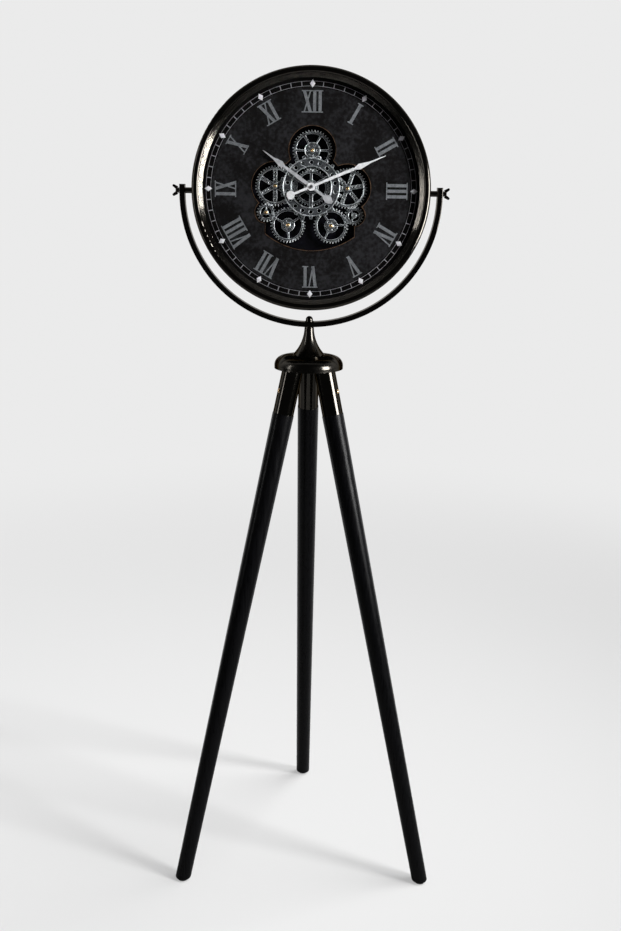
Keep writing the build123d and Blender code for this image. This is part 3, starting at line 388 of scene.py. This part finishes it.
def surface_place(tree, kind="Object"):
    """Texture coordinates of one kind, by default in the object's own frame."""
    return tree.nodes.new("ShaderNodeTexCoord").outputs[kind]


def ray_kinds(tree):
    """Masks that tell which kind of ray has reached the surface."""
    return tree.nodes.new("ShaderNodeLightPath").outputs


# Shader groups that several finishes share
def new_group(name, numbers, colour_names, results):
    """Shader group with its inputs by name, and its outputs with their kinds."""
    tree = bpy.data.node_groups.new(name, "ShaderNodeTree")
    inputs = [(socket, "NodeSocketFloat") for socket in numbers]
    inputs += [(socket, "NodeSocketColor") for socket in colour_names]
    for direction, sockets in (("INPUT", inputs), ("OUTPUT", results)):
        for socket, kind in sockets:
            tree.interface.new_socket(name=socket, in_out=direction, socket_type=kind)
    entry = tree.nodes.new("NodeGroupInput").outputs
    result = tree.nodes.new("NodeGroupOutput").inputs
    return tree, entry, result


def mottle_group():
    """Two scales of noise that mix a dark and a light tone."""
    results = (("Colour", "NodeSocketColor"), ("Mask", "NodeSocketFloat"))
    numbers = ("Scale", "Fine share", "Low", "High")
    tree, entry, result = new_group("Mottled tone", numbers, ("Dark", "Light"), results)
    broad_detail = 5
    fine_detail = 3
    fineness = 7
    place = surface_place(tree)
    broad = noise(tree, place, entry["Scale"], broad_detail)
    fine = noise(tree, place, number(tree, "MULTIPLY", entry["Scale"], fineness), fine_detail)
    blend = mixed(tree, "FLOAT", entry["Fine share"], broad, fine)
    mask = stretched(tree, blend, entry["Low"], entry["High"], smooth=True)
    feed(tree, result["Colour"], mixed(tree, "RGBA", mask, entry["Dark"], entry["Light"]))
    feed(tree, result["Mask"], mask)
    return tree


def grain_group():
    """Long streaks along the poles, for colour and relief."""
    results = (("Colour", "NodeSocketColor"), ("Height", "NodeSocketFloat"))
    tree, entry, result = new_group("Pole grain", ("Across", "Along"), ("Dark", "Light"), results)
    detail = 4
    low = 0.35
    high = 0.7
    across = entry["Across"]
    scales = {"X": across, "Y": across, "Z": entry["Along"]}
    stretch = fed_node(tree, "ShaderNodeCombineXYZ", scales).outputs["Vector"]
    scaled = operation(tree, "ShaderNodeVectorMath", "MULTIPLY", surface_place(tree), stretch)
    streaks = noise(tree, scaled.outputs["Vector"], scale=1, detail=detail)
    height = stretched(tree, streaks, low, high)
    feed(tree, result["Colour"], mixed(tree, "RGBA", height, entry["Dark"], entry["Light"]))
    feed(tree, result["Height"], height)
    return tree


def edge_group():
    """Softened normal near sharp edges, and a mask that is high there."""
    results = (("Mask", "NodeSocketFloat"), ("Normal", "NodeSocketVector"))
    tree, entry, result = new_group("Soft edges", ("Radius",), (), results)
    flat_match = 1
    edge_match = 0.88
    soft = fed_node(tree, "ShaderNodeBevel", {"Radius": entry["Radius"]}).outputs["Normal"]
    true_normal = tree.nodes.new("ShaderNodeNewGeometry").outputs["True Normal"]
    match = measure(tree, "DOT_PRODUCT", soft, true_normal)
    feed(tree, result["Mask"], stretched(tree, match, flat_match, edge_match))
    feed(tree, result["Normal"], soft)
    return tree


made_already = {}


def made_once(maker):
    """What a function makes, made the first time it is asked for."""
    if maker not in made_already:
        made_already[maker] = maker()
    return made_already[maker]


def new_material(name):
    """Material with its node tree and its Principled shader."""
    material = bpy.data.materials.new(name)
    material.use_nodes = True
    return material, material.node_tree, material.node_tree.nodes["Principled BSDF"]


def place_group(tree, maker, **values):
    """Put a shared group in a material and set its inputs."""
    node = tree.nodes.new("ShaderNodeGroup")
    node.node_tree = made_once(maker)
    for socket, value in values.items():
        node.inputs[socket.replace("_", " ")].default_value = value
    return node


def with_alpha(colour, factor=1.0):
    """Colour with an alpha, made lighter or darker by a factor."""
    return (*(min(part * factor, 1) for part in colour), 1)


def swing_roughness(tree, shader, mask, low, high):
    """Let a mask swing the roughness between two values."""
    roughness = stretched(tree, mask, 0, 1, to_low=low, to_high=high)
    feed(tree, shader.inputs["Roughness"], roughness)


def add_relief(tree, shader, height, strength, distance, normal=None):
    """Fine relief from a height, on a softened normal where one is given."""
    values = {"Strength": strength, "Distance": distance, "Height": height}
    if normal:
        values["Normal"] = normal
    bump = fed_node(tree, "ShaderNodeBump", values)
    feed(tree, shader.inputs["Normal"], bump.outputs["Normal"])


def mottled_material(name, colour, metallic, rough, scale, darker, lighter, fine=0.4, gloss=0.5):
    """Finish with a mottled tone and a swing of roughness."""
    material, tree, shader = new_material(name)
    tone = place_group(
        tree, mottle_group, Scale=scale, Fine_share=fine, Low=0.38, High=0.64,
        Dark=with_alpha(colour, darker), Light=with_alpha(colour, lighter),
    )
    feed(tree, shader.inputs["Metallic"], metallic)
    feed(tree, shader.inputs["Specular IOR Level"], gloss)
    feed(tree, shader.inputs["Base Color"], tone.outputs["Colour"])
    swing_roughness(tree, shader, tone.outputs["Mask"], *rough)
    return material


def plain_material(name, colour, rough, gloss=0.1):
    """Even finish with a faint mottle in its tone and its gloss."""
    darker = 0.85
    lighter = 1.15
    return mottled_material(
        name, colour, metallic=0.0, rough=(rough * darker, rough * lighter), scale=90.0,
        darker=darker, lighter=lighter, gloss=gloss,
    )


def nickel_material(name, rough, scale):
    """Glossy black metal that stays dark at grazing angles too."""
    colour = colours().nickel
    material = mottled_material(
        name, colour, metallic=1.0, rough=rough, scale=scale, darker=0.9, lighter=1.1, fine=0.3,
    )
    grazing_tone = 5.0
    shader = material.node_tree.nodes["Principled BSDF"]
    shader.inputs["Specular Tint"].default_value = with_alpha(colour, grazing_tone)
    return material


def polished_nickel():
    """Black nickel of the sleeves, the yoke and the drum."""
    return nickel_material("Black nickel", rough=(0.09, 0.11), scale=30.0)


def cast_nickel():
    """Softer black nickel of the cap and the column."""
    return nickel_material("Black nickel casting", rough=(0.17, 0.22), scale=45.0)


def wheel_material():
    """Cast pewter: dark in its pores, with a painted highlight along its edges that face the
    front.
    """
    material, tree, shader = new_material("Pewter wheels")
    pores = with_alpha(colours().pewter, factor=0.25)
    faces = with_alpha(colours().pewter, factor=0.95)
    # Pale tone of the painted highlight on the front edges, where bevels would catch the light
    edge_highlight_tone = with_alpha(colours().pewter, factor=8.5)
    edge_highlight_width = 0.0016
    relief_depth = 0.0001
    tone = place_group(
        tree, mottle_group, Scale=90.0, Fine_share=0.5, Low=0.36, High=0.62,
        Dark=pores, Light=faces,
    )
    edge = place_group(tree, edge_group, Radius=edge_highlight_width)
    facing = measure(tree, "DOT_PRODUCT", surface_place(tree, "Normal"), dial_normal)
    front_edge = number(tree, "MULTIPLY", facing, edge.outputs["Mask"])
    front_edge.node.use_clamp = True
    # Painted highlight: edges that face the front take the pale tone, walls and faces keep the
    # mottle
    surface_tone = mixed(tree, "RGBA", front_edge, tone.outputs["Colour"], edge_highlight_tone)
    feed(tree, shader.inputs["Base Color"], surface_tone)
    feed(tree, shader.inputs["Metallic"], 0.55)
    swing_roughness(tree, shader, tone.outputs["Mask"], low=0.40, high=0.28)
    add_relief(
        tree, shader, tone.outputs["Mask"], strength=0.6, distance=relief_depth,
        normal=edge.outputs["Normal"],
    )
    return material


def wood_material():
    """Black stain that lets the grain show as a soft relief."""
    material, tree, shader = new_material("Black stained wood")
    valleys = with_alpha(colours().wood, factor=1.2)
    ridges = with_alpha(colours().wood, factor=2.2)
    relief_depth = 0.0003
    grain = place_group(tree, grain_group, Across=240.0, Along=6.0, Dark=valleys, Light=ridges)
    feed(tree, shader.inputs["Base Color"], grain.outputs["Colour"])
    swing_roughness(tree, shader, grain.outputs["Height"], low=0.26, high=0.34)
    add_relief(tree, shader, grain.outputs["Height"], strength=0.3, distance=relief_depth)
    feed(tree, shader.inputs["Specular IOR Level"], 0.09)
    return material


def dial_distance(tree):
    """Distance of the surface from the dial's axis."""
    local = fed_node(tree, "ShaderNodeMapping", {"Vector": surface_place(tree)})
    local.vector_type = "TEXTURE"
    feed(tree, local.inputs["Location"], tilt_point)
    feed(tree, local.inputs["Rotation"], dial_frame.to_euler())
    parts = fed_node(tree, "ShaderNodeSeparateXYZ", {"Vector": local.outputs["Vector"]}).outputs
    flat = fed_node(tree, "ShaderNodeCombineXYZ", {"X": parts["X"], "Y": parts["Y"]})
    return measure(tree, "LENGTH", flat.outputs["Vector"])


def dial_material():
    """Worn charcoal print that goes black towards the minute track."""
    material, tree, shader = new_material("Worn charcoal dial")
    surface_tone = with_alpha(colours().dial_dark)
    scuffed = with_alpha(colours().dial_light)
    black = with_alpha(colours().dial_dark, factor=0.4)
    fade_lines = 4
    relief_depth = 0.0002
    tone = place_group(
        tree, mottle_group, Scale=22.0, Fine_share=0.5, Low=0.40, High=0.66,
        Dark=surface_tone, Light=scuffed,
    )
    line = sizes().track_line
    fade_start = sizes().track_inner - line * fade_lines
    band = stretched(
        tree, dial_distance(tree), fade_start, sizes().track_inner - line, smooth=True,
    )
    colour = mixed(tree, "RGBA", band, tone.outputs["Colour"], black)
    feed(tree, shader.inputs["Base Color"], colour)
    swing_roughness(tree, shader, tone.outputs["Mask"], low=0.55, high=0.75)
    add_relief(tree, shader, tone.outputs["Mask"], strength=0.3, distance=relief_depth)
    feed(tree, shader.inputs["Specular IOR Level"], 0.01)
    return material


def glass_material():
    """Clear sheet that hardly mirrors and lets the lamps shine through."""
    material, tree, shader = new_material("Clear glass")
    feed(tree, shader.inputs["Base Color"], (1, 1, 1, 1))
    feed(tree, shader.inputs["Roughness"], 0)
    feed(tree, shader.inputs["IOR"], 1.08)
    feed(tree, shader.inputs["Transmission Weight"], 1)
    rays = ray_kinds(tree)
    lighting = number(tree, "MAXIMUM", rays["Is Shadow Ray"], rays["Is Diffuse Ray"])
    open_way = tree.nodes.new("ShaderNodeBsdfTransparent")
    surface = mixed_shaders(tree, lighting, shader.outputs["BSDF"], open_way.outputs["BSDF"])
    feed(tree, tree.nodes["Material Output"].inputs["Surface"], surface)
    return material


def brass():
    """Polished brass of the pins, the bushes and the sleeve screws."""
    return mottled_material(
        "Polished brass", colours().brass, metallic=1.0, rough=(0.12, 0.25), scale=60.0,
        darker=0.7, lighter=1.2,
    )


def copper():
    """Dull copper of the line round the opening."""
    return mottled_material(
        "Copper line", colours().copper, metallic=0.6, rough=(0.35, 0.55), scale=60.0,
        darker=0.6, lighter=1.4, gloss=0.2,
    )


def steel():
    """Plain steel of the studs, the washers, the pillars and the screws."""
    return mottled_material(
        "Plain steel", colours().steel, metallic=1.0, rough=(0.25, 0.4), scale=60.0,
        darker=0.7, lighter=1.1,
    )


def plate():
    """Blackened sheet of the mechanism plate and the back cover."""
    return plain_material("Blackened plate", colours().plate, rough=0.55, gloss=0.03)


def moulding():
    """Black moulding of the movement, the drive and the setting knob."""
    return plain_material("Black moulding", colours().moulding, rough=0.45, gloss=0.3)


def rubber():
    """Rubber of the pads under the poles."""
    return plain_material("Black rubber", colours().rubber, rough=0.8)


def cell_wrap():
    """Wrap of the cells."""
    return plain_material("Cell wrap", colours().cell, rough=0.3, gloss=0.4)


def darkened_nut():
    """Finish of the nut that holds the hands."""
    return plain_material("Darkened nut", colours().hand_nut, rough=0.35, gloss=0.3)


def print_material(name, colour, rough, darker, lighter, gloss):
    """Fine-grained ink on the dial."""
    return mottled_material(
        name, colour, metallic=0.0, rough=rough, scale=160.0,
        darker=darker, lighter=lighter, fine=0.6, gloss=gloss,
    )


def numeral_print():
    """Grey ink of the numerals."""
    return print_material(
        "Numeral print", colours().numeral, rough=(0.5, 0.7), darker=0.6, lighter=1.2, gloss=0.05,
    )


def track_print():
    """Grey ink of the minute track."""
    return print_material(
        "Track print", colours().track, rough=(0.45, 0.6), darker=0.75, lighter=1.1, gloss=0.05,
    )


def diamond_print():
    """White of the diamonds."""
    return print_material(
        "Diamond print", colours().diamond, rough=(0.45, 0.6), darker=0.85, lighter=1.1, gloss=0.1,
    )


def hand_material(name, colour, darker, lighter):
    """Satin lacquer of a hand."""
    return mottled_material(
        name, colour, metallic=0.2, rough=(0.35, 0.5), scale=120.0,
        darker=darker, lighter=lighter, gloss=0.2,
    )


def pale_hand():
    """Finish of the minute hand."""
    return hand_material("Pale hand", colours().hand_white, darker=0.8, lighter=1.05)


def grey_hand():
    """Finish of the hour hand."""
    return hand_material("Grey hand", colours().hand_grey, darker=0.75, lighter=1.1)


def paint_nodes(maker, *names):
    """Give CAD nodes the material that a function makes."""
    for name in names:
        mesh = cad_nodes[name].data
        mesh.materials.clear()
        mesh.materials.append(made_once(maker))


class CLOCK_OT_poles(bpy.types.Operator):
    """Stain the poles and paint their pads"""

    bl_idname = "clock.poles"
    bl_label = "Poles"

    def execute(self, context):
        paint_nodes(wood_material, "leg_pole_left", "leg_pole_right", "leg_pole_back")
        paint_nodes(rubber, "foot_pads")
        return {"FINISHED"}


class CLOCK_OT_metalwork(bpy.types.Operator):
    """Finish the sleeves, cap, column, yoke, pivots and drum"""

    bl_idname = "clock.metalwork"
    bl_label = "Metalwork"

    def execute(self, context):
        paint_nodes(polished_nickel, "leg_sleeve_left", "leg_sleeve_right", "leg_sleeve_back",
                    "yoke", "acorn_nut", "pivot_spacers", "wing_nut_left", "wing_nut_right",
                    "drum_case", "back_rim", "dial_seat")
        paint_nodes(cast_nickel, "tripod_cap", "flared_column")
        paint_nodes(steel, "swivel_stud", "pivot_studs", "pivot_plates", "pivot_washers")
        paint_nodes(brass, "sleeve_screws")
        return {"FINISHED"}


class CLOCK_OT_case(bpy.types.Operator):
    """Finish the front of the drum"""

    bl_idname = "clock.case"
    bl_label = "Case"

    def execute(self, context):
        paint_nodes(polished_nickel, "bezel_ring", "inner_ring")
        paint_nodes(glass_material, "glass")
        return {"FINISHED"}


# Lifts of the print's upper parts in print heights, a facet's width in diamond widths,
# and the segments of the track's rings for each minute
tick_lift = 1.2
serif_lift = 1.3
diamond_lift = 1.4
facet_lift = 2
facet_share = 0.28
minute_segments = 4


class CLOCK_OT_dial(bpy.types.Operator):
    """Print the minute track on the dial"""

    bl_idname = "clock.dial"
    bl_label = "Dial and track"

    def execute(self, context):
        size = sizes()
        paint_nodes(dial_material, "dial_plate")
        paint_nodes(copper, "opening_trim")
        place = dial_frame @ Matrix.Translation((0, 0, size.dial_level))
        segments = size.minutes * minute_segments
        line = size.track_line
        lines = [
            flat_ring(size.track_outer, size.track_outer - line, size.print_height, segments),
            flat_ring(size.track_inner + line, size.track_inner, size.print_height, segments),
        ]
        settle(join_pieces(lines, "track_lines"), place, "head", track_print)
        self.add_ticks(size, place)
        self.add_diamonds(size, place)
        return {"FINISHED"}

    def add_ticks(self, size, place):
        """A mark for each minute between the hours."""
        height = size.print_height * tick_lift
        pattern = slanted_bar(0, 0, size.track_inner, size.track_outer, size.tick_width, height)
        marks = []
        for minute in range(size.minutes):
            if minute * hours_shown % size.minutes:
                marks.append(turned_copy(pattern, math.tau * minute / size.minutes))
        make_active(pattern)
        bpy.ops.object.delete()
        settle(join_pieces(marks, "track_ticks"), place, "head", track_print)

    def add_diamonds(self, size, place):
        """Twelve faceted diamonds on the track."""
        middle = (size.track_inner + size.track_outer) / 2
        radius = size.diamond_length / 2
        flank = size.print_height * diamond_lift
        bpy.ops.mesh.primitive_circle_add(vertices=4, radius=radius, fill_type="NGON")
        first = bpy.context.object
        first.matrix_world = Matrix.Translation((0, middle, 0)) @ Matrix.Diagonal(
            (size.diamond_width / size.diamond_length, 1, 1, 1)
        )
        bpy.ops.object.transform_apply(location=True, rotation=True, scale=True)
        bpy.ops.object.mode_set(mode="EDIT")
        bpy.ops.mesh.select_all(action="SELECT")
        bpy.ops.mesh.extrude_region_move(TRANSFORM_OT_translate={"value": (0, 0, flank)})
        bpy.ops.mesh.inset(thickness=size.diamond_width * facet_share)
        bpy.ops.transform.translate(value=(0, 0, size.print_height * facet_lift))
        bpy.ops.mesh.select_all(action="SELECT")
        bpy.ops.mesh.normals_make_consistent(inside=False)
        bpy.ops.object.mode_set(mode="OBJECT")
        diamonds = [first]
        for hour in range(1, hours_shown):
            diamonds.append(turned_copy(first, math.tau * hour / hours_shown))
        settle(join_pieces(diamonds, "track_diamonds"), place, "head", diamond_print)


hour_numerals = ("XII", "I", "II", "III", "IV", "V", "VI", "VII", "VIII", "IX", "X", "XI")


def letter_advance(letter, size):
    """Room that a letter takes along the numeral."""
    return size.bar_pitch if letter == "I" else size.slant_width


def letter_strokes(letter, left, size):
    """Bars of one letter: foot x, head x, width of each stroke."""
    if letter == "I":
        middle = left + size.bar_pitch / 2
        return [(middle, middle, size.thick_stroke)]
    thick = left + size.thick_stroke / 2 + size.serif / 2
    thin = left + size.slant_width - size.thin_stroke / 2 - size.serif / 2
    if letter == "V":
        foot = left + size.slant_width / 2
        return [(foot, thick, size.thick_stroke), (foot, thin, size.thin_stroke)]
    return [(thin, thick, size.thick_stroke), (thick, thin, size.thin_stroke)]


def letter_serifs(letter, left, size):
    """Serif lines of one letter: middle x, width and whether at the head."""
    advance = letter_advance(letter, size)
    middle = left + advance / 2
    width = advance + size.serif / 2
    lines = [(middle, width, True)]
    if letter != "V":
        lines.append((middle, width, False))
    return lines


class CLOCK_OT_numerals(bpy.types.Operator):
    """Print the twelve numerals, their feet towards the centre"""

    bl_idname = "clock.numerals"
    bl_label = "Numerals"

    def execute(self, context):
        size = sizes()
        place = dial_frame @ Matrix.Translation((0, 0, size.dial_level))
        foot = size.numeral_inner
        head = foot + size.numeral_height
        pieces = []
        for hour, word in enumerate(hour_numerals):
            strokes = []
            left = -sum(letter_advance(letter, size) for letter in word) / 2
            for letter in word:
                for foot_x, head_x, width in letter_strokes(letter, left, size):
                    bar = slanted_bar(foot_x, head_x, foot, head, width, size.print_height)
                    strokes.append(bar)
                for middle, width, at_head in letter_serifs(letter, left, size):
                    low = head - size.serif if at_head else foot
                    high = low + size.serif
                    height = size.print_height * serif_lift
                    strokes.append(slanted_bar(middle, middle, low, high, width, height))
                left += letter_advance(letter, size)
            numeral = join_pieces(strokes, "numeral")
            numeral.matrix_world = Matrix.Rotation(-math.tau * hour / hours_shown, 4, "Z")
            pieces.append(numeral)
        settle(join_pieces(pieces, "numerals"), place, "head", numeral_print)
        return {"FINISHED"}


class CLOCK_OT_wheels(bpy.types.Operator):
    """Finish the wheel train and what carries it"""

    bl_idname = "clock.wheels"
    bl_label = "Wheel train"

    def execute(self, context):
        paint_nodes(wheel_material, "centre_wheel", "ring_wheel", "top_wheel", "left_wheel",
                    "right_wheel", "lower_left_small_wheel", "lower_left_middle_wheel",
                    "lower_right_small_wheel", "lower_right_middle_wheel", "bush_cap")
        paint_nodes(brass, "wheel_pins", "centre_bush", "hour_tube")
        paint_nodes(plate, "mechanism_plate")
        paint_nodes(steel, "plate_pillars", "pillar_screws", "drive_shaft", "minute_shaft")
        return {"FINISHED"}


class CLOCK_OT_hands(bpy.types.Operator):
    """Finish the hands"""

    bl_idname = "clock.hands"
    bl_label = "Hands"

    def execute(self, context):
        paint_nodes(pale_hand, "minute_hand")
        paint_nodes(grey_hand, "hour_hand")
        paint_nodes(darkened_nut, "hand_nut")
        return {"FINISHED"}


class CLOCK_OT_back(bpy.types.Operator):
    """Finish the back, the movement and the drive"""

    bl_idname = "clock.back"
    bl_label = "Back"

    def execute(self, context):
        paint_nodes(plate, "back_cover")
        paint_nodes(steel, "cover_screws")
        paint_nodes(moulding, "movement", "gear_drive", "set_knob")
        paint_nodes(cell_wrap, "movement_cell", "drive_cells")
        return {"FINISHED"}


# The photograph's camera. The photo's long side and the focal length are in pixels, the
# film's long side is in millimetres, and the distance is measured ahead of the tilt axis.
photo_long_side = 931
photo_focal = 1076.8
film_side = 36.0
camera_distance = 2.1883
camera_height = 1.4706
camera_yaw = math.radians(0.18)
camera_pitch = math.radians(-14.76)
camera_roll = math.radians(0.87)


def add_camera():
    """Camera at the photograph's place, pointed and rolled as there."""
    data = bpy.data.cameras.new("Camera")
    data.sensor_width = film_side
    data.lens = film_side * photo_focal / photo_long_side
    camera = bpy.data.objects.new("Camera", data)
    bpy.context.collection.objects.link(camera)
    forward = Vector((
        math.sin(camera_yaw) * math.cos(camera_pitch),
        math.cos(camera_yaw) * math.cos(camera_pitch),
        math.sin(camera_pitch),
    ))
    level = forward.cross(Vector((0, 0, 1))).normalized()
    above = level.cross(forward)
    right = level * math.cos(camera_roll) + above * math.sin(camera_roll)
    up = above * math.cos(camera_roll) - level * math.sin(camera_roll)
    place = Vector((0, tilt_point.y - camera_distance, camera_height))
    camera.matrix_world = frame_matrix(place, right, up, -forward)
    bpy.context.scene.camera = camera


def before_head(beside, ahead, level):
    """Place beside the head's middle, ahead of it and above the floor."""
    return Vector((beside, tilt_point.y - ahead, level))


def new_lamp(name, kind, power):
    """Lamp of one kind and power, still to be placed."""
    data = bpy.data.lights.new(name, kind)
    data.energy = power
    lamp = bpy.data.objects.new(name, data)
    bpy.context.collection.objects.link(lamp)
    return lamp


def add_area_lamp(name, place, aim, width, height, power, mirrored_only):
    """Rectangular lamp that faces a point, and either lights or is only mirrored."""
    lamp = new_lamp(name, "AREA", power)
    lamp.data.shape = "RECTANGLE"
    lamp.data.size = width
    lamp.data.size_y = height
    lamp.visible_camera = False
    lamp.visible_transmission = mirrored_only
    lamp.visible_diffuse = not mirrored_only
    lamp.visible_glossy = mirrored_only
    lamp.location = place
    lamp.rotation_euler = (aim - place).to_track_quat("-Z", "Y").to_euler()
    return lamp


def add_key_lamp():
    """Main lamp, high up on the right, aimed at the head."""
    place = before_head(beside=2.29, ahead=1.02, level=2.78)
    lamp = add_area_lamp(
        "Key lamp", place, tilt_point, width=0.6, height=0.6, power=30, mirrored_only=False,
    )
    lamp.data.spread = math.radians(80)


def add_sky_lamp():
    """Even light from high up, which hardly reaches the dial."""
    direction = Vector((0.45, 0.1, 1))
    lamp = new_lamp("Sky lamp", "SUN", power=2.4)
    lamp.data.angle = math.radians(30)
    lamp.visible_glossy = False
    lamp.visible_transmission = False
    lamp.rotation_euler = direction.to_track_quat("Z", "Y").to_euler()


def add_panel(name, beside, ahead, level, width, height, power):
    """Upright panel that lights nothing and is only mirrored."""
    place = before_head(beside, ahead, level)
    aim = before_head(0, 0, level)
    add_area_lamp(name, place, aim, width, height, power, mirrored_only=True)


def pale_rays(tree):
    """One for camera, mirror and glass rays, which only show the background."""
    rays = ray_kinds(tree)
    direct = number(tree, "MAXIMUM", rays["Is Camera Ray"], rays["Is Glossy Ray"])
    return number(tree, "MAXIMUM", direct, rays["Is Transmission Ray"])


def dark_front(tree, ahead, dark_end, pale_end):
    """Backdrop colour that mirror and glass rays find dark on the camera's side."""
    dark_tone = 0.04
    pale = with_alpha(colours().backdrop)
    dark = with_alpha(colours().backdrop, dark_tone)
    rays = ray_kinds(tree)
    depth = stretched(tree, ahead, dark_end, pale_end, to_low=1, to_high=0, smooth=True)
    mirrored = number(tree, "MAXIMUM", rays["Is Glossy Ray"], rays["Is Transmission Ray"])
    return mixed(tree, "RGBA", number(tree, "MULTIPLY", depth, mirrored), pale, dark)


def set_world():
    """Pale world to look at, softer as a light, that stays pale overhead in mirrors."""
    ambient = 0.08
    overhead_share = 0.35
    dark_end = -0.1
    pale_end = 0.5
    world = bpy.data.worlds.new("Studio")
    world.use_nodes = True
    bpy.context.scene.world = world
    tree = world.node_tree
    direction = surface_place(tree, "Generated")
    ahead = measure(tree, "DOT_PRODUCT", direction, (0, 1, overhead_share))
    seen = tree.nodes["Background"]
    feed(tree, seen.inputs["Color"], dark_front(tree, ahead, dark_end, pale_end))
    light = {"Color": with_alpha(colours().backdrop), "Strength": ambient}
    soft = fed_node(tree, "ShaderNodeBackground", light)
    shaders = (soft.outputs["Background"], seen.outputs["Background"])
    surface = mixed_shaders(tree, pale_rays(tree), *shaders)
    feed(tree, tree.nodes["World Output"].inputs["Surface"], surface)


def floor_material():
    """Pale floor that keeps part of the shadows and fades into the backdrop."""
    shadow_share = 0.5
    fade_start = 1.2
    fade_end = 3.5
    dark_end = 0
    pale_end = 0.6
    lit = with_alpha(colours().backdrop, factor=0.87)
    bounced = with_alpha(colours().backdrop, factor=0.15)
    material, tree, shader = new_material("Pale floor")
    diffuse_ray = ray_kinds(tree)["Is Diffuse Ray"]
    feed(tree, shader.inputs["Base Color"], mixed(tree, "RGBA", diffuse_ray, lit, bounced))
    feed(tree, shader.inputs["Roughness"], 1)
    feed(tree, shader.inputs["Specular IOR Level"], 0)
    place = surface_place(tree)
    depth = fed_node(tree, "ShaderNodeSeparateXYZ", {"Vector": place}).outputs["Y"]
    backdrop = dark_front(tree, depth, dark_end, pale_end)
    glow = fed_node(tree, "ShaderNodeEmission", {"Color": backdrop})
    reach = measure(tree, "LENGTH", place)
    fade = stretched(tree, reach, fade_start, fade_end, to_low=1 - shadow_share, smooth=True)
    seen = number(tree, "MULTIPLY", fade, pale_rays(tree))
    surface = mixed_shaders(tree, seen, shader.outputs["BSDF"], glow.outputs["Emission"])
    feed(tree, tree.nodes["Material Output"].inputs["Surface"], surface)
    return material


floor_sides = 96
floor_radius = 6


class CLOCK_OT_stage(bpy.types.Operator):
    """Set up the floor, lamps, world and camera"""

    bl_idname = "clock.stage"
    bl_label = "Studio"

    def execute(self, context):
        deselect()
        bpy.ops.mesh.primitive_circle_add(
            vertices=floor_sides, radius=floor_radius, fill_type="NGON",
        )
        floor = bpy.context.object
        floor.name = "floor"
        floor.data.materials.append(floor_material())
        set_world()
        add_key_lamp()
        add_sky_lamp()
        add_panel(
            "Right panel", beside=2.1, ahead=1.2, level=1.6, width=1.0, height=1.4, power=125,
        )
        add_panel(
            "Left panel", beside=-2.2, ahead=0.9, level=1.7, width=0.25, height=2.0, power=10,
        )
        add_camera()
        context.scene.view_settings.view_transform = "Standard"
        return {"FINISHED"}


class CLOCK_PT_panel(bpy.types.Panel):
    """Sizes, colours and steps of the clock"""

    bl_idname = "CLOCK_PT_panel"
    bl_label = "Clock"
    bl_space_type = "VIEW_3D"
    bl_region_type = "UI"
    bl_category = "Clock"

    def draw(self, context):
        for operator in operators:
            self.layout.operator(operator.bl_idname)
        for group in (context.scene.clock_sizes, context.scene.clock_colours):
            for name in group.bl_rna.properties.keys():
                if name not in {"rna_type", "name"}:
                    self.layout.prop(group, name)


operators = (
    CLOCK_OT_poles,
    CLOCK_OT_metalwork,
    CLOCK_OT_case,
    CLOCK_OT_dial,
    CLOCK_OT_numerals,
    CLOCK_OT_wheels,
    CLOCK_OT_hands,
    CLOCK_OT_back,
    CLOCK_OT_stage,
)
classes = (ClockSizes, ClockColours, *operators, CLOCK_PT_panel)


def register():
    """Register the classes and hang the sizes and colours on the scene."""
    for item in classes:
        bpy.utils.register_class(item)
    bpy.types.Scene.clock_sizes = PointerProperty(type=ClockSizes)
    bpy.types.Scene.clock_colours = PointerProperty(type=ClockColours)


def unregister():
    """Take the classes out again."""
    del bpy.types.Scene.clock_colours
    del bpy.types.Scene.clock_sizes
    for item in reversed(classes):
        bpy.utils.unregister_class(item)


def main():
    """Register the classes, dress the clock and set the studio."""
    register()
    for operator in operators:
        group, action = operator.bl_idname.split(".")
        getattr(getattr(bpy.ops, group), action)()


if __name__ == "__main__":
    main()
